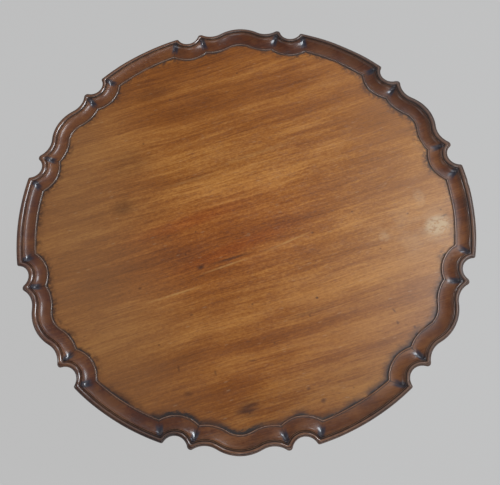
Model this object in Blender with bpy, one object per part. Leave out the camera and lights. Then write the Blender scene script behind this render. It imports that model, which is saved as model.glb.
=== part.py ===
"""Tilt-top tripod tea table with a scalloped, moulded rim.

The top tips up on two pintles of the birdcage that carries it, the birdcage turns on the pillar,
and a brass bolt locks the top level. Metres, +Z up. The origin is on the floor under the pillar,
X runs along the pintles and the grain of the top, and the tipped top faces -Y.
"""

from math import acos, atan2, cos, pi, radians, sin, sqrt, tau

import bmesh
import bpy
from mathutils import Matrix, Vector
from mathutils.geometry import interpolate_bezier

# Fits
GAP = 0.0003                # between pieces that touch or turn on each other
OVERRUN = 0.004             # how far a cutting shape runs past the face it opens
BOLT_PLAY = 0.0006          # around the bolt in its keeper

# Table top
TABLE_HEIGHT = 0.716        # floor to the top of the lip
TOP_RADIUS = 0.380          # blank that the rim is carved from
BOARD_THICKNESS = 0.017     # at the field
RIM_RISE = 0.010            # lip above the field
UNDERSIDE_RADIUS = 0.322    # flat of the underside, inside its bevel

# Scalloped outline, one lobe: long arc, scoop, point, dip and bulge
LOBES = 6
RIM_TURN = radians(-17.0)   # middle of a long arc, from the grain
BULGE_RADIUS = 0.065
BULGE_INSET = 0.001
DIP_RADIUS = 0.034
DIP_DEPTH = 0.0118
SCOOP_RADIUS = 0.0200
SCOOP_RISE = 0.0036         # centre of the scoop beyond the blank's edge

# Rim moulding, from the edge inwards
EDGE_LIFT = 0.009           # bevel of the underside at the edge
EDGE_UNDERCUT = 0.0055
LIP_WIDTH = 0.0062
LIP_HEIGHT = 0.0075
QUIRK_WIDTH = 0.0026
QUIRK_DEPTH = 0.0036
COVE_WIDTH = 0.0196
COVE_DROP = 0.0016          # top of the cove below the lip
INNER_BEAD_WIDTH = 0.0026
INNER_BEAD_RISE = 0.0014

# Birdcage
PLATE_SIDE = 0.190
LOWER_PLATE_SIDE = 0.184
PLATE_THICKNESS = 0.024
PLATE_ROUNDING = 0.003
CAGE_OPENING = 0.078        # between the plates
BALUSTER_INSET = 0.026      # baluster axis from the lower plate's edges
BALUSTER_BELLY = 0.0125
BALUSTER_NECK = 0.0066
BALUSTER_RING = 0.0105
BALUSTER_RING_HEIGHT = 0.0055
BALUSTER_SEAT_HEIGHT = 0.0075
BALUSTER_BELLY_RISE = 0.018 # belly above the vase's foot
TENON_RADIUS = 0.0068
PINTLE_RADIUS = 0.0075
PINTLE_SHORTFALL = 0.002    # pintle end inside the bearer's outer face

# Bearers under the top
BEARER_WIDTH = 0.024
BEARER_DEPTH = 0.030
BEARER_LENGTH = 0.500
BEARER_SIDE_PLAY = 0.0008   # to the sides of the upper plate
BEARER_TAPER_LENGTH = 0.060
BEARER_TIP_DEPTH = 0.014
BEARER_ROUNDING = 0.003
BEARER_SCREW_SPREAD = 0.170  # end screws from the middle one

# Pillar
PILLAR_CLEARANCE = 0.158    # floor to the pillar's underside
DRUM_RADIUS = 0.038
DRUM_HEIGHT = 0.102
DRUM_CHAMFER = 0.003
RING_SWELL = 0.0035
DRUM_RING_HEIGHT = 0.009
FOOT_COVE_HEIGHT = 0.013
VASE_FOOT_RADIUS = 0.0235
VASE_RADIUS = 0.041
VASE_NECK_RADIUS = 0.0165
VASE_HEIGHT = 0.128
VASE_BELLY_RISE = 0.049     # belly above the vase's foot
VASE_NECK_RUN = 0.038       # how far each stretch of the vase holds its direction
VASE_SHOULDER_RUN = 0.033
VASE_BELLY_RUN = 0.026
VASE_FOOT_RUN = 0.013
NECK_RING_HEIGHT = 0.010
COLUMN_FOOT_RADIUS = 0.0255
COLUMN_HEAD_RADIUS = 0.0200
COLUMN_FLARE_HEIGHT = 0.014
ASTRAGAL_HEIGHT = 0.007
CAPITAL_RADIUS = 0.036
CAPITAL_COVE_HEIGHT = 0.024
CAPITAL_FILLET = 0.007
SPIGOT_RADIUS = 0.019
SPIGOT_HEIGHT = 0.076       # above the pillar's shoulder
PIN_RADIUS = 0.0125
PIN_ENTRY = 0.014           # into the upper plate

# Collar and wedge that hold the cage down
COLLAR_RADIUS = 0.031
COLLAR_HEIGHT = 0.012
COLLAR_ROUNDING = 0.003
WEDGE_LENGTH = 0.112
WEDGE_WIDTH = 0.008
WEDGE_THIN_HEIGHT = 0.012
WEDGE_THICK_HEIGHT = 0.017
WEDGE_ROUNDING = 0.0012

# Legs
LEG_COUNT = 3
FIRST_LEG = radians(90.0)
LEG_JOIN_RISE = 0.046       # middle of the leg's root above the pillar's underside
KNEE_REACH = 0.165          # control points of the leg's sweep
KNEE_RISE = 0.080
SHIN_REACH = 0.196
FOOT_REACH = 0.310          # foot's axis from the pillar's
LEG_ROOT_START = 0.010
LEG_ROOT_DEPTH = 0.100
LEG_ROOT_WIDTH = 0.046
ANKLE_DEPTH = 0.025
ANKLE_WIDTH = 0.025
LEG_SQUARENESS = 0.78       # 1 is an oval section, lower is squarer
PAD_RADIUS = 0.031
PAD_HEIGHT = 0.019
PAD_TOP_RADIUS = 0.017      # flat of the pad round the ankle
SHOE_RADIUS = 0.023
SHOE_HEIGHT = 0.006
TONGUE_DEPTH = 0.016
TONGUE_NECK = 0.014
TONGUE_WIDE = 0.020
TONGUE_HEIGHT = 0.074

# Iron stay under the leg joints
STAY_THICKNESS = 0.0025
STAY_REACH = 0.092
STAY_TIP_RADIUS = 0.009
STAY_HUB_RADIUS = 0.025     # to the crotch between two arms
STAY_SCREW_PLACES = (0.057, 0.086)

# Brass catch
CATCH_LENGTH = 0.070
CATCH_WIDTH = 0.042
CATCH_THICKNESS = 0.0024
CATCH_SETBACK = 0.003       # plate's front from the keeper's face
CATCH_SCREW_INSET = 0.006
STAPLE_WIDTH = 0.020
STAPLE_LENGTH = 0.012
STAPLE_SETBACK = 0.004      # staple from the plate's end
STAPLE_WALL = 0.0026
BOLT_DROP = 0.0105          # bolt's middle below the table top
BOLT_WIDTH = 0.012
BOLT_HEIGHT = 0.006
BOLT_TRAVEL = 0.009
BOLT_NOSE = 0.004           # length of the bevel at the bolt's end
BOLT_TAIL = 0.004           # past the back staple when drawn
KNOB_RADIUS = 0.0075
KNOB_HEIGHT = 0.012         # of the ball
KNOB_COLLAR_RADIUS = 0.0048
KNOB_NECK_RADIUS = 0.0032
KNOB_NECK_LENGTH = 0.006
KNOB_STUD_RADIUS = 0.0018
KNOB_STUD_LENGTH = 0.0042
KEEPER_WIDTH = 0.046
KEEPER_HEIGHT = 0.0155
KEEPER_THICKNESS = 0.0018
KEEPER_SCREW_SPREAD = 0.0165

# Countersunk screws: radii of shank and head, head's height, radius and length of the tip, whole length
BEARER_SCREW = (0.0024, 0.0046, 0.0026, 0.0008, 0.0050, 0.0370)
STAY_SCREW = (0.0020, 0.0038, 0.0018, 0.0007, 0.0040, 0.0220)
CATCH_SCREW = (0.0014, 0.0028, 0.0015, 0.0005, 0.0030, 0.0110)
KEEPER_SCREW = (0.0014, 0.0027, 0.0014, 0.0005, 0.0030, 0.0120)

# Facets
ARC_STEPS = 3
SCOOP_STEPS = 6
DIP_STEPS = 3
BULGE_STEPS = 3
PILLAR_STEPS = 24
BALUSTER_STEPS = 10
ROUND_STEPS = 16
KNOB_STEPS = 12
PIN_STEPS = 16
SCREW_STEPS = 8
LEG_RINGS = 13
LEG_SIDES = 10
LIP_TURNS = (-50, 10, 90, 145)      # degrees round the lip's section, from outside
KNOB_TURNS = (50, 25, 0, -30, -60)  # degrees down the knob's ball
BEAD_STEPS = 3
SMALL_BEAD_STEPS = 2
HOLLOW_STEPS = 3
FLARE_STEPS = 2
BALUSTER_VASE_STEPS = 4
BALUSTER_FOOT_STEPS = 1
VASE_NECK_STEPS = 5
VASE_FOOT_STEPS = 3
PAD_UPPER_STEPS = 4
PAD_LOWER_STEPS = 3
STAY_TIP_STEPS = 6
ROUNDING_STEPS = 2
SMOOTH_ANGLE = radians(38.0)

# Levels and places that follow from the sizes
FIELD_Z = TABLE_HEIGHT - RIM_RISE
UNDERSIDE_Z = FIELD_Z - BOARD_THICKNESS
UPPER_TOP = UNDERSIDE_Z - GAP
UPPER_BOTTOM = UPPER_TOP - PLATE_THICKNESS
LOWER_TOP = UPPER_BOTTOM - CAGE_OPENING
LOWER_BOTTOM = LOWER_TOP - PLATE_THICKNESS
SHOULDER_Z = LOWER_BOTTOM - GAP
COLLAR_TOP = LOWER_TOP + GAP + COLLAR_HEIGHT
PINTLE_Y = PLATE_THICKNESS / 2 - PLATE_SIDE / 2
PINTLE_Z = UPPER_TOP - PLATE_THICKNESS / 2
BEARER_X = PLATE_SIDE / 2 + BEARER_SIDE_PLAY + BEARER_WIDTH / 2
BEARER_BOTTOM = UNDERSIDE_Z - GAP - BEARER_DEPTH
BALUSTER_PLACE = LOWER_PLATE_SIDE / 2 - BALUSTER_INSET
BOLT_Z = UNDERSIDE_Z - BOLT_DROP
CATCH_FRONT = PLATE_SIDE / 2 + CATCH_SETBACK
CATCH_BOTTOM = UNDERSIDE_Z - GAP - CATCH_THICKNESS
CATCH_BACK = CATCH_FRONT + CATCH_LENGTH
KNOB_Y = CATCH_FRONT + CATCH_LENGTH / 2 + BOLT_TRAVEL / 2


# Plane geometry

def polar(radius, angle):
    """A point of the plane by its radius and angle."""
    return Vector((radius * cos(angle), radius * sin(angle)))


def apex_angle(side_a, side_b, opposite):
    """The angle between two sides of a triangle, from the side opposite it."""
    return acos((side_a ** 2 + side_b ** 2 - opposite ** 2) / (2 * side_a * side_b))


def crossings(centre_a, radius_a, centre_b, radius_b):
    """Both points where two circles cross."""
    span = centre_b - centre_a
    along = (span.length_squared + radius_a ** 2 - radius_b ** 2) / (2 * span.length)
    across = Vector((-span.y, span.x)).normalized() * sqrt(radius_a ** 2 - along ** 2)
    foot = centre_a + span.normalized() * along
    return foot + across, foot - across


def arc(centre, start, end, steps):
    """Points along the shorter arc from start up to, but without, end."""
    first = atan2(start.y - centre.y, start.x - centre.x)
    sweep = (atan2(end.y - centre.y, end.x - centre.x) - first + pi) % tau - pi
    radius = (start - centre).length
    return [centre + polar(radius, first + sweep * i / steps) for i in range(steps)]


# Profiles of turned pieces: (radius, height) points, top to bottom

def bead(radius, top, height, swell, steps=BEAD_STEPS):
    """A half-round ring that stands out from a radius by its swell."""
    turns = [pi / 2 - pi * i / steps for i in range(steps + 1)]
    return [(radius + swell * cos(a), top - height / 2 + height / 2 * sin(a)) for a in turns]


def cove(wide, narrow, top, height, steps=HOLLOW_STEPS):
    """A hollow that narrows downwards."""
    turns = [pi / 2 * i / steps for i in range(steps + 1)]
    return [(wide - (wide - narrow) * sin(a), top - height + height * cos(a)) for a in turns]


def rising_cove(narrow, wide, top, height, steps=HOLLOW_STEPS):
    """A hollow that widens downwards."""
    return [(r, 2 * top - height - z) for r, z in reversed(cove(wide, narrow, top, height, steps))]


def sweep_line(start, handle_a, handle_b, end, steps):
    """A smooth free curve between two points of a profile."""
    knots = [Vector((r, z)) for r, z in (start, handle_a, handle_b, end)]
    return [(p.x, p.y) for p in interpolate_bezier(*knots, steps + 1)]


# Solids

def as_object(name, builder):
    """Turn a bmesh into an object of the scene, with its faces pointing out."""
    bmesh.ops.recalc_face_normals(builder, faces=builder.faces)
    mesh = bpy.data.meshes.new(name)
    builder.to_mesh(mesh)
    builder.free()
    thing = bpy.data.objects.new(name, mesh)
    bpy.context.scene.collection.objects.link(thing)
    return thing


def box(low, high):
    """A box between two corners."""
    builder = bmesh.new()
    low, high = Vector(low), Vector(high)
    place = Matrix.Translation((low + high) / 2) @ Matrix.Diagonal((high - low).to_4d())
    bmesh.ops.create_cube(builder, size=1.0, matrix=place)
    return as_object("box", builder)


def rod(radius, start, end, steps=PIN_STEPS):
    """A cylinder from one point to another."""
    start, end = Vector(start), Vector(end)
    axis = end - start
    turn = axis.to_track_quat("Z", "Y").to_matrix().to_4x4()
    builder = bmesh.new()
    bmesh.ops.create_cone(builder, cap_ends=True, segments=steps, radius1=radius, radius2=radius,
                          depth=axis.length, matrix=Matrix.Translation((start + end) / 2) @ turn)
    return as_object("rod", builder)


def turned(profile, steps):
    """Spin a profile about Z; one that stops short of the axis is closed into a ring."""
    builder = bmesh.new()
    knots = [builder.verts.new((radius, 0.0, height)) for radius, height in profile]
    pairs = list(zip(knots, knots[1:]))
    if profile[0][0] > 0:
        pairs.append((knots[-1], knots[0]))
    edges = [builder.edges.new(pair) for pair in pairs]
    bmesh.ops.spin(builder, geom=knots + edges, cent=(0, 0, 0), axis=(0, 0, 1),
                   angle=tau, steps=steps, use_merge=True)
    bmesh.ops.remove_doubles(builder, verts=builder.verts, dist=1e-6)
    return as_object("turned", builder)


def prism(outline, low, high):
    """Extrude a closed XY outline from one height to another."""
    builder = bmesh.new()
    face = builder.faces.new([builder.verts.new((p[0], p[1], low)) for p in outline])
    raised = bmesh.ops.extrude_face_region(builder, geom=[face])["geom"]
    moved = [g for g in raised if isinstance(g, bmesh.types.BMVert)]
    bmesh.ops.translate(builder, verts=moved, vec=(0, 0, high - low))
    return as_object("prism", builder)


def lofted(rings):
    """Skin rings of equal count and close both ends."""
    builder = bmesh.new()
    loops = [[builder.verts.new(point) for point in ring] for ring in rings]
    count = len(loops[0])
    for lower, upper in zip(loops, loops[1:]):
        for i in range(count):
            j = (i + 1) % count
            builder.faces.new((lower[i], lower[j], upper[j], upper[i]))
    builder.faces.new(list(reversed(loops[0])))
    builder.faces.new(loops[-1])
    return as_object("loft", builder)


def screw_solid(spec, clearance=0.0):
    """A countersunk screw along +Z with its head's face at 0, or the hole for it."""
    shank, head, head_height, tip_radius, tip_length, length = spec
    face = -OVERRUN if clearance else 0.0
    tip = length + clearance
    profile = [(0.0, tip), (tip_radius + clearance, tip), (shank + clearance, tip - tip_length),
               (shank + clearance, head_height + clearance), (head + clearance, clearance)]
    if clearance:
        profile.append((head + clearance, face))
    return turned(profile + [(0.0, face)], SCREW_STEPS)


def moved(thing, location=(0, 0, 0), rotation=None):
    """Turn a solid about the origin and shift it, in its mesh."""
    turn = rotation.to_4x4() if rotation else Matrix.Identity(4)
    thing.data.transform(Matrix.Translation(location) @ turn)
    return thing


def rounded(thing, width, chosen, segments=ROUNDING_STEPS):
    """Round the edges of a solid that a test on the edge's two end points picks."""
    builder = bmesh.new()
    builder.from_mesh(thing.data)
    edges = [e for e in builder.edges if chosen(e.verts[0].co, e.verts[1].co)]
    bmesh.ops.bevel(builder, geom=edges, offset=width, segments=segments, profile=0.5,
                    affect="EDGES", clamp_overlap=True)
    builder.to_mesh(thing.data)
    builder.free()
    return thing


def combined(base, tools, operation):
    """Join tools to a solid or cut them from it, and drop the tools."""
    for tool in tools:
        step = base.modifiers.new(operation.lower(), "BOOLEAN")
        step.object = tool
        step.operation = operation
        step.solver = "EXACT"
    graph = bpy.context.evaluated_depsgraph_get()
    mesh = bpy.data.meshes.new_from_object(base.evaluated_get(graph))
    base.modifiers.clear()
    base.data = mesh
    for tool in tools:
        bpy.data.objects.remove(tool)
    return base


def joined(base, *tools):
    """One solid from several that overlap."""
    return combined(base, tools, "UNION")


def cut(base, *tools):
    """A solid less the others."""
    return combined(base, tools, "DIFFERENCE")


# Looks and places

def finish(name, colour, roughness, metallic=0.0):
    """A plain material."""
    material = bpy.data.materials.new(name)
    material.use_nodes = True
    shader = material.node_tree.nodes["Principled BSDF"]
    shader.inputs["Base Color"].default_value = (*colour, 1.0)
    shader.inputs["Roughness"].default_value = roughness
    shader.inputs["Metallic"].default_value = metallic
    material.diffuse_color = (*colour, 1.0)
    return material


def axis_mark(name, location, parent=None):
    """An empty on a joint's axis, which carries what the joint moves."""
    mark = bpy.data.objects.new(name, None)
    bpy.context.scene.collection.objects.link(mark)
    mark["world_place"] = location
    mark.parent = parent
    mark.location = Vector(location) - carrier_place(parent)
    return mark


def carrier_place(parent):
    """World place of a carrying empty."""
    return Vector(parent["world_place"]) if parent else Vector((0, 0, 0))


def placed(solid, name, material, parent=None, location=(0, 0, 0), rotation=(0, 0, 0)):
    """Name a solid, dress it and hang it on its carrier."""
    mesh = solid.data
    mesh.name = name
    mesh.materials.clear()
    mesh.materials.append(material)
    mesh.shade_smooth()
    mesh.set_sharp_from_angle(angle=SMOOTH_ANGLE)
    solid.name = name
    solid.parent = parent
    solid.location = Vector(location) - carrier_place(parent)
    solid.rotation_euler = rotation
    return solid


def repeated(solid, names, material, parent, places):
    """Copies of one solid that share its mesh; places holds (location, rotation) pairs."""
    for name, (location, rotation) in zip(names, places):
        copy = bpy.data.objects.new(name, solid.data)
        bpy.context.scene.collection.objects.link(copy)
        placed(copy, name, material, parent, location, rotation)
    bpy.data.objects.remove(solid)


def numbered(stem, count):
    """Names stem_1, stem_2 and so on."""
    return [f"{stem}_{i + 1}" for i in range(count)]


# Table top

def rim_centres():
    """Centres of one lobe's bulge, dip and scoop; the points lie on the blank's edge."""
    half = pi / LOBES
    bulge_reach = TOP_RADIUS - BULGE_INSET - BULGE_RADIUS
    dip_reach = TOP_RADIUS - DIP_DEPTH + DIP_RADIUS
    scoop_reach = TOP_RADIUS + SCOOP_RISE
    dip_turn = half - apex_angle(bulge_reach, dip_reach, BULGE_RADIUS + DIP_RADIUS)
    tip_turn = dip_turn - apex_angle(dip_reach, TOP_RADIUS, DIP_RADIUS)
    scoop_turn = tip_turn - apex_angle(scoop_reach, TOP_RADIUS, SCOOP_RADIUS)
    return polar(bulge_reach, half), polar(dip_reach, dip_turn), polar(scoop_reach, scoop_turn)


def rim_outline(inset):
    """The scalloped outline moved inwards, mitred where its arcs meet at an angle."""
    half = pi / LOBES
    bulge, dip, scoop = rim_centres()
    middle = Vector((0.0, 0.0))
    edge = TOP_RADIUS - inset
    corner = crossings(middle, edge, scoop, SCOOP_RADIUS + inset)[1]
    tip = min(crossings(scoop, SCOOP_RADIUS + inset, dip, DIP_RADIUS + inset), key=lambda p: p.length)
    seam = bulge + (dip - bulge).normalized() * (BULGE_RADIUS - inset)
    crown = polar(edge - BULGE_INSET, half)
    path = arc(middle, polar(edge, 0.0), corner, ARC_STEPS)
    path += arc(scoop, corner, tip, SCOOP_STEPS)
    path += arc(dip, tip, seam, DIP_STEPS)
    path += arc(bulge, seam, crown, BULGE_STEPS)
    angles = [(p.length, atan2(p.y, p.x)) for p in path]
    lobe = angles + [(crown.length, half)] + [(r, 2 * half - a) for r, a in reversed(angles[1:])]
    return [polar(r, RIM_TURN + 2 * half * k + a) for k in range(LOBES) for r, a in lobe]


def rim_section():
    """(inset, height) of the moulding, from the foot of the edge over the lip to the field."""
    lip_middle = TABLE_HEIGHT - LIP_HEIGHT / 2
    section = [(EDGE_UNDERCUT, UNDERSIDE_Z + EDGE_LIFT)]
    for degrees in LIP_TURNS:
        a = radians(degrees)
        section.append((LIP_WIDTH / 2 * (1 - cos(a)), lip_middle + LIP_HEIGHT / 2 * sin(a)))
    section.append((LIP_WIDTH + QUIRK_WIDTH / 2, TABLE_HEIGHT - QUIRK_DEPTH))
    cove_start = LIP_WIDTH + QUIRK_WIDTH
    cove_end = cove_start + COVE_WIDTH
    cove_fall = RIM_RISE - COVE_DROP - INNER_BEAD_RISE / 2
    for i in range(HOLLOW_STEPS + 1):
        a = pi / 2 * i / HOLLOW_STEPS
        section.append((cove_end - COVE_WIDTH * cos(a), TABLE_HEIGHT - COVE_DROP - cove_fall * sin(a)))
    section.append((cove_end + INNER_BEAD_WIDTH / 2, FIELD_Z + INNER_BEAD_RISE))
    section.append((cove_end + INNER_BEAD_WIDTH, FIELD_Z))
    return section


def bearer_screw_places():
    """Heads of the screws that go up through the bearers."""
    return [(side * BEARER_X, step * BEARER_SCREW_SPREAD, BEARER_BOTTOM)
            for side in (-1, 1) for step in (-1, 0, 1)]


def catch_screw_places():
    """Heads of the screws in the corners of the catch plate."""
    across = CATCH_WIDTH / 2 - CATCH_SCREW_INSET
    return [(x, y, CATCH_BOTTOM) for x in (-across, across)
            for y in (CATCH_FRONT + CATCH_SCREW_INSET, CATCH_BACK - CATCH_SCREW_INSET)]


def screw_holes(spec, places):
    """Cutting shapes for screws that go straight up."""
    return [moved(screw_solid(spec, GAP), place) for place in places]


def table_top():
    """One board: scalloped rim, dished field, bevelled underside and blind screw holes."""
    edge = rim_outline(EDGE_UNDERCUT)
    rings = [[(*(p.normalized() * UNDERSIDE_RADIUS), UNDERSIDE_Z) for p in edge]]
    for inset, height in rim_section():
        rings.append([(p.x, p.y, height) for p in rim_outline(inset)])
    holes = screw_holes(BEARER_SCREW, bearer_screw_places())
    holes += screw_holes(CATCH_SCREW, catch_screw_places())
    return cut(lofted(rings), *holes)


def bearer(side):
    """A batten across the grain with tapered ends, bored for the pintle."""
    half = BEARER_LENGTH / 2
    shoulder = half - BEARER_TAPER_LENGTH
    top = BEARER_BOTTOM + BEARER_DEPTH
    tip = top - BEARER_TIP_DEPTH
    outline = [(-half, top), (-half, tip), (-shoulder, BEARER_BOTTOM), (shoulder, BEARER_BOTTOM),
               (half, tip), (half, top)]
    middle = side * BEARER_X
    upright = Matrix(((0, 0, 1), (1, 0, 0), (0, 1, 0)))
    batten = prism(outline, middle - BEARER_WIDTH / 2, middle + BEARER_WIDTH / 2)
    moved(batten, rotation=upright)
    lowest = top - BEARER_TIP_DEPTH / 2
    rounded(batten, BEARER_ROUNDING,
            lambda a, b: abs(a.x - b.x) < GAP and a.z < lowest and b.z < lowest)
    reach = BEARER_WIDTH / 2 + OVERRUN
    bore = rod(PINTLE_RADIUS + GAP, (middle - reach, PINTLE_Y, PINTLE_Z),
               (middle + reach, PINTLE_Y, PINTLE_Z))
    own = [place for place in bearer_screw_places() if place[0] * side > 0]
    return cut(batten, bore, *screw_holes(BEARER_SCREW, own))


# Birdcage

def baluster_places():
    """Axes of the four balusters."""
    return [(x, y) for x in (-BALUSTER_PLACE, BALUSTER_PLACE) for y in (-BALUSTER_PLACE, BALUSTER_PLACE)]


def tenon_holes(low, high):
    """Cutting shapes for the baluster tenons through a plate."""
    return [rod(TENON_RADIUS + GAP, (x, y, low - OVERRUN), (x, y, high + OVERRUN))
            for x, y in baluster_places()]


def keeper_screw_places():
    """Heads of the keeper's screws, in its outer face."""
    return [(side * KEEPER_SCREW_SPREAD, PLATE_SIDE / 2, BOLT_Z) for side in (-1, 1)]


def keeper_screw_holes():
    """Cutting shapes for the keeper's screws, which point at the pillar."""
    inwards = Matrix.Rotation(pi / 2, 3, "X")
    return [moved(screw_solid(KEEPER_SCREW, GAP), place, inwards) for place in keeper_screw_places()]


def bolt_passage(play, start, end):
    """The bolt's section with some play, from one Y to another."""
    across = BOLT_WIDTH / 2 + play
    upward = BOLT_HEIGHT / 2 + play
    return box((-across, start, BOLT_Z - upward), (across, end, BOLT_Z + upward))


def upper_plate():
    """The plate under the top: round front edge, pintles, and a mortise for the bolt at the back."""
    back = PLATE_SIDE / 2
    half_thick = PLATE_THICKNESS / 2
    turns = [pi / 2 + pi * i / PIN_STEPS * 2 for i in range(PIN_STEPS // 2 + 1)]
    outline = [(back, UPPER_BOTTOM), (back, UPPER_TOP)]
    outline += [(PINTLE_Y + half_thick * cos(a), PINTLE_Z + half_thick * sin(a)) for a in turns]
    upright = Matrix(((0, 0, 1), (1, 0, 0), (0, 1, 0)))
    plate = moved(prism(outline, -back, back), rotation=upright)
    reach = BEARER_X + BEARER_WIDTH / 2 - PINTLE_SHORTFALL
    pintles = [rod(PINTLE_RADIUS, (side * (back - OVERRUN), PINTLE_Y, PINTLE_Z),
                   (side * reach, PINTLE_Y, PINTLE_Z)) for side in (-1, 1)]
    joined(plate, *pintles)
    socket = rod(PIN_RADIUS + GAP, (0, 0, UPPER_BOTTOM - OVERRUN),
                 (0, 0, UPPER_BOTTOM + PIN_ENTRY + GAP), ROUND_STEPS)
    recess = keeper_blank(GAP, OVERRUN)
    mortise_depth = CATCH_SETBACK + BOLT_TRAVEL + OVERRUN
    mortise = bolt_passage(BOLT_PLAY, back - mortise_depth, back)
    return cut(plate, socket, recess, mortise, *tenon_holes(UPPER_BOTTOM, UPPER_TOP),
               *keeper_screw_holes())


def lower_plate():
    """The plate that turns on the pillar's shoulder."""
    half = LOWER_PLATE_SIDE / 2
    plate = box((-half, -half, LOWER_BOTTOM), (half, half, LOWER_TOP))
    rounded(plate, PLATE_ROUNDING, lambda a, b: True)
    bore = rod(SPIGOT_RADIUS + GAP, (0, 0, LOWER_BOTTOM - OVERRUN), (0, 0, LOWER_TOP + OVERRUN),
               PILLAR_STEPS)
    return cut(plate, bore, *tenon_holes(LOWER_BOTTOM, LOWER_TOP))


def baluster():
    """A small turned vase with a ring and a tenon at each end, from Z 0 at the lower plate's top."""
    low = GAP
    high = CAGE_OPENING - GAP
    vase_low = low + BALUSTER_SEAT_HEIGHT + BALUSTER_RING_HEIGHT
    vase_high = high - BALUSTER_SEAT_HEIGHT - BALUSTER_RING_HEIGHT
    belly = vase_low + BALUSTER_BELLY_RISE
    ring_swell = (BALUSTER_RING - BALUSTER_NECK) / 2
    slack = (vase_high - belly) / 2
    profile = [(0.0, high + PLATE_THICKNESS), (TENON_RADIUS, high + PLATE_THICKNESS), (TENON_RADIUS, high),
               (BALUSTER_RING, high), (BALUSTER_RING, high - BALUSTER_SEAT_HEIGHT)]
    profile += bead(BALUSTER_NECK, vase_high + BALUSTER_RING_HEIGHT, BALUSTER_RING_HEIGHT, ring_swell,
                    SMALL_BEAD_STEPS)
    profile += sweep_line((BALUSTER_NECK, vase_high), (BALUSTER_NECK, vase_high - slack),
                          (BALUSTER_BELLY, belly + slack), (BALUSTER_BELLY, belly), BALUSTER_VASE_STEPS)[1:]
    profile += cove(BALUSTER_BELLY, BALUSTER_NECK, belly, belly - vase_low, BALUSTER_FOOT_STEPS)[1:]
    profile += bead(BALUSTER_NECK, vase_low, BALUSTER_RING_HEIGHT, ring_swell, SMALL_BEAD_STEPS)[1:]
    profile += [(BALUSTER_RING, low + BALUSTER_SEAT_HEIGHT), (BALUSTER_RING, low), (TENON_RADIUS, low),
                (TENON_RADIUS, low - PLATE_THICKNESS), (0.0, low - PLATE_THICKNESS)]
    return turned(profile, BALUSTER_STEPS)


def collar():
    """The ring that the wedge presses on the lower plate."""
    bore = SPIGOT_RADIUS + GAP
    low = LOWER_TOP + GAP
    edge = COLLAR_RADIUS - COLLAR_ROUNDING
    profile = [(bore, COLLAR_TOP), (edge, COLLAR_TOP), (COLLAR_RADIUS, COLLAR_TOP - COLLAR_ROUNDING),
               (COLLAR_RADIUS, low + COLLAR_ROUNDING), (edge, low), (bore, low)]
    return turned(profile, PILLAR_STEPS)


def wedge(clearance=0.0, extra_length=0.0):
    """The key through the spigot, flat below and tapered above, or the slot for it."""
    half = WEDGE_LENGTH / 2 + extra_length
    slope = (WEDGE_THICK_HEIGHT - WEDGE_THIN_HEIGHT) / WEDGE_LENGTH
    low = COLLAR_TOP + GAP - clearance
    middle = COLLAR_TOP + GAP + (WEDGE_THICK_HEIGHT + WEDGE_THIN_HEIGHT) / 2 + clearance
    outline = [(-half, low), (half, low), (half, middle + slope * half), (-half, middle - slope * half)]
    across = WEDGE_WIDTH / 2 + clearance
    upright = Matrix(((1, 0, 0), (0, 0, -1), (0, 1, 0)))
    return moved(prism(outline, -across, across), rotation=upright)


# Pillar and legs

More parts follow.
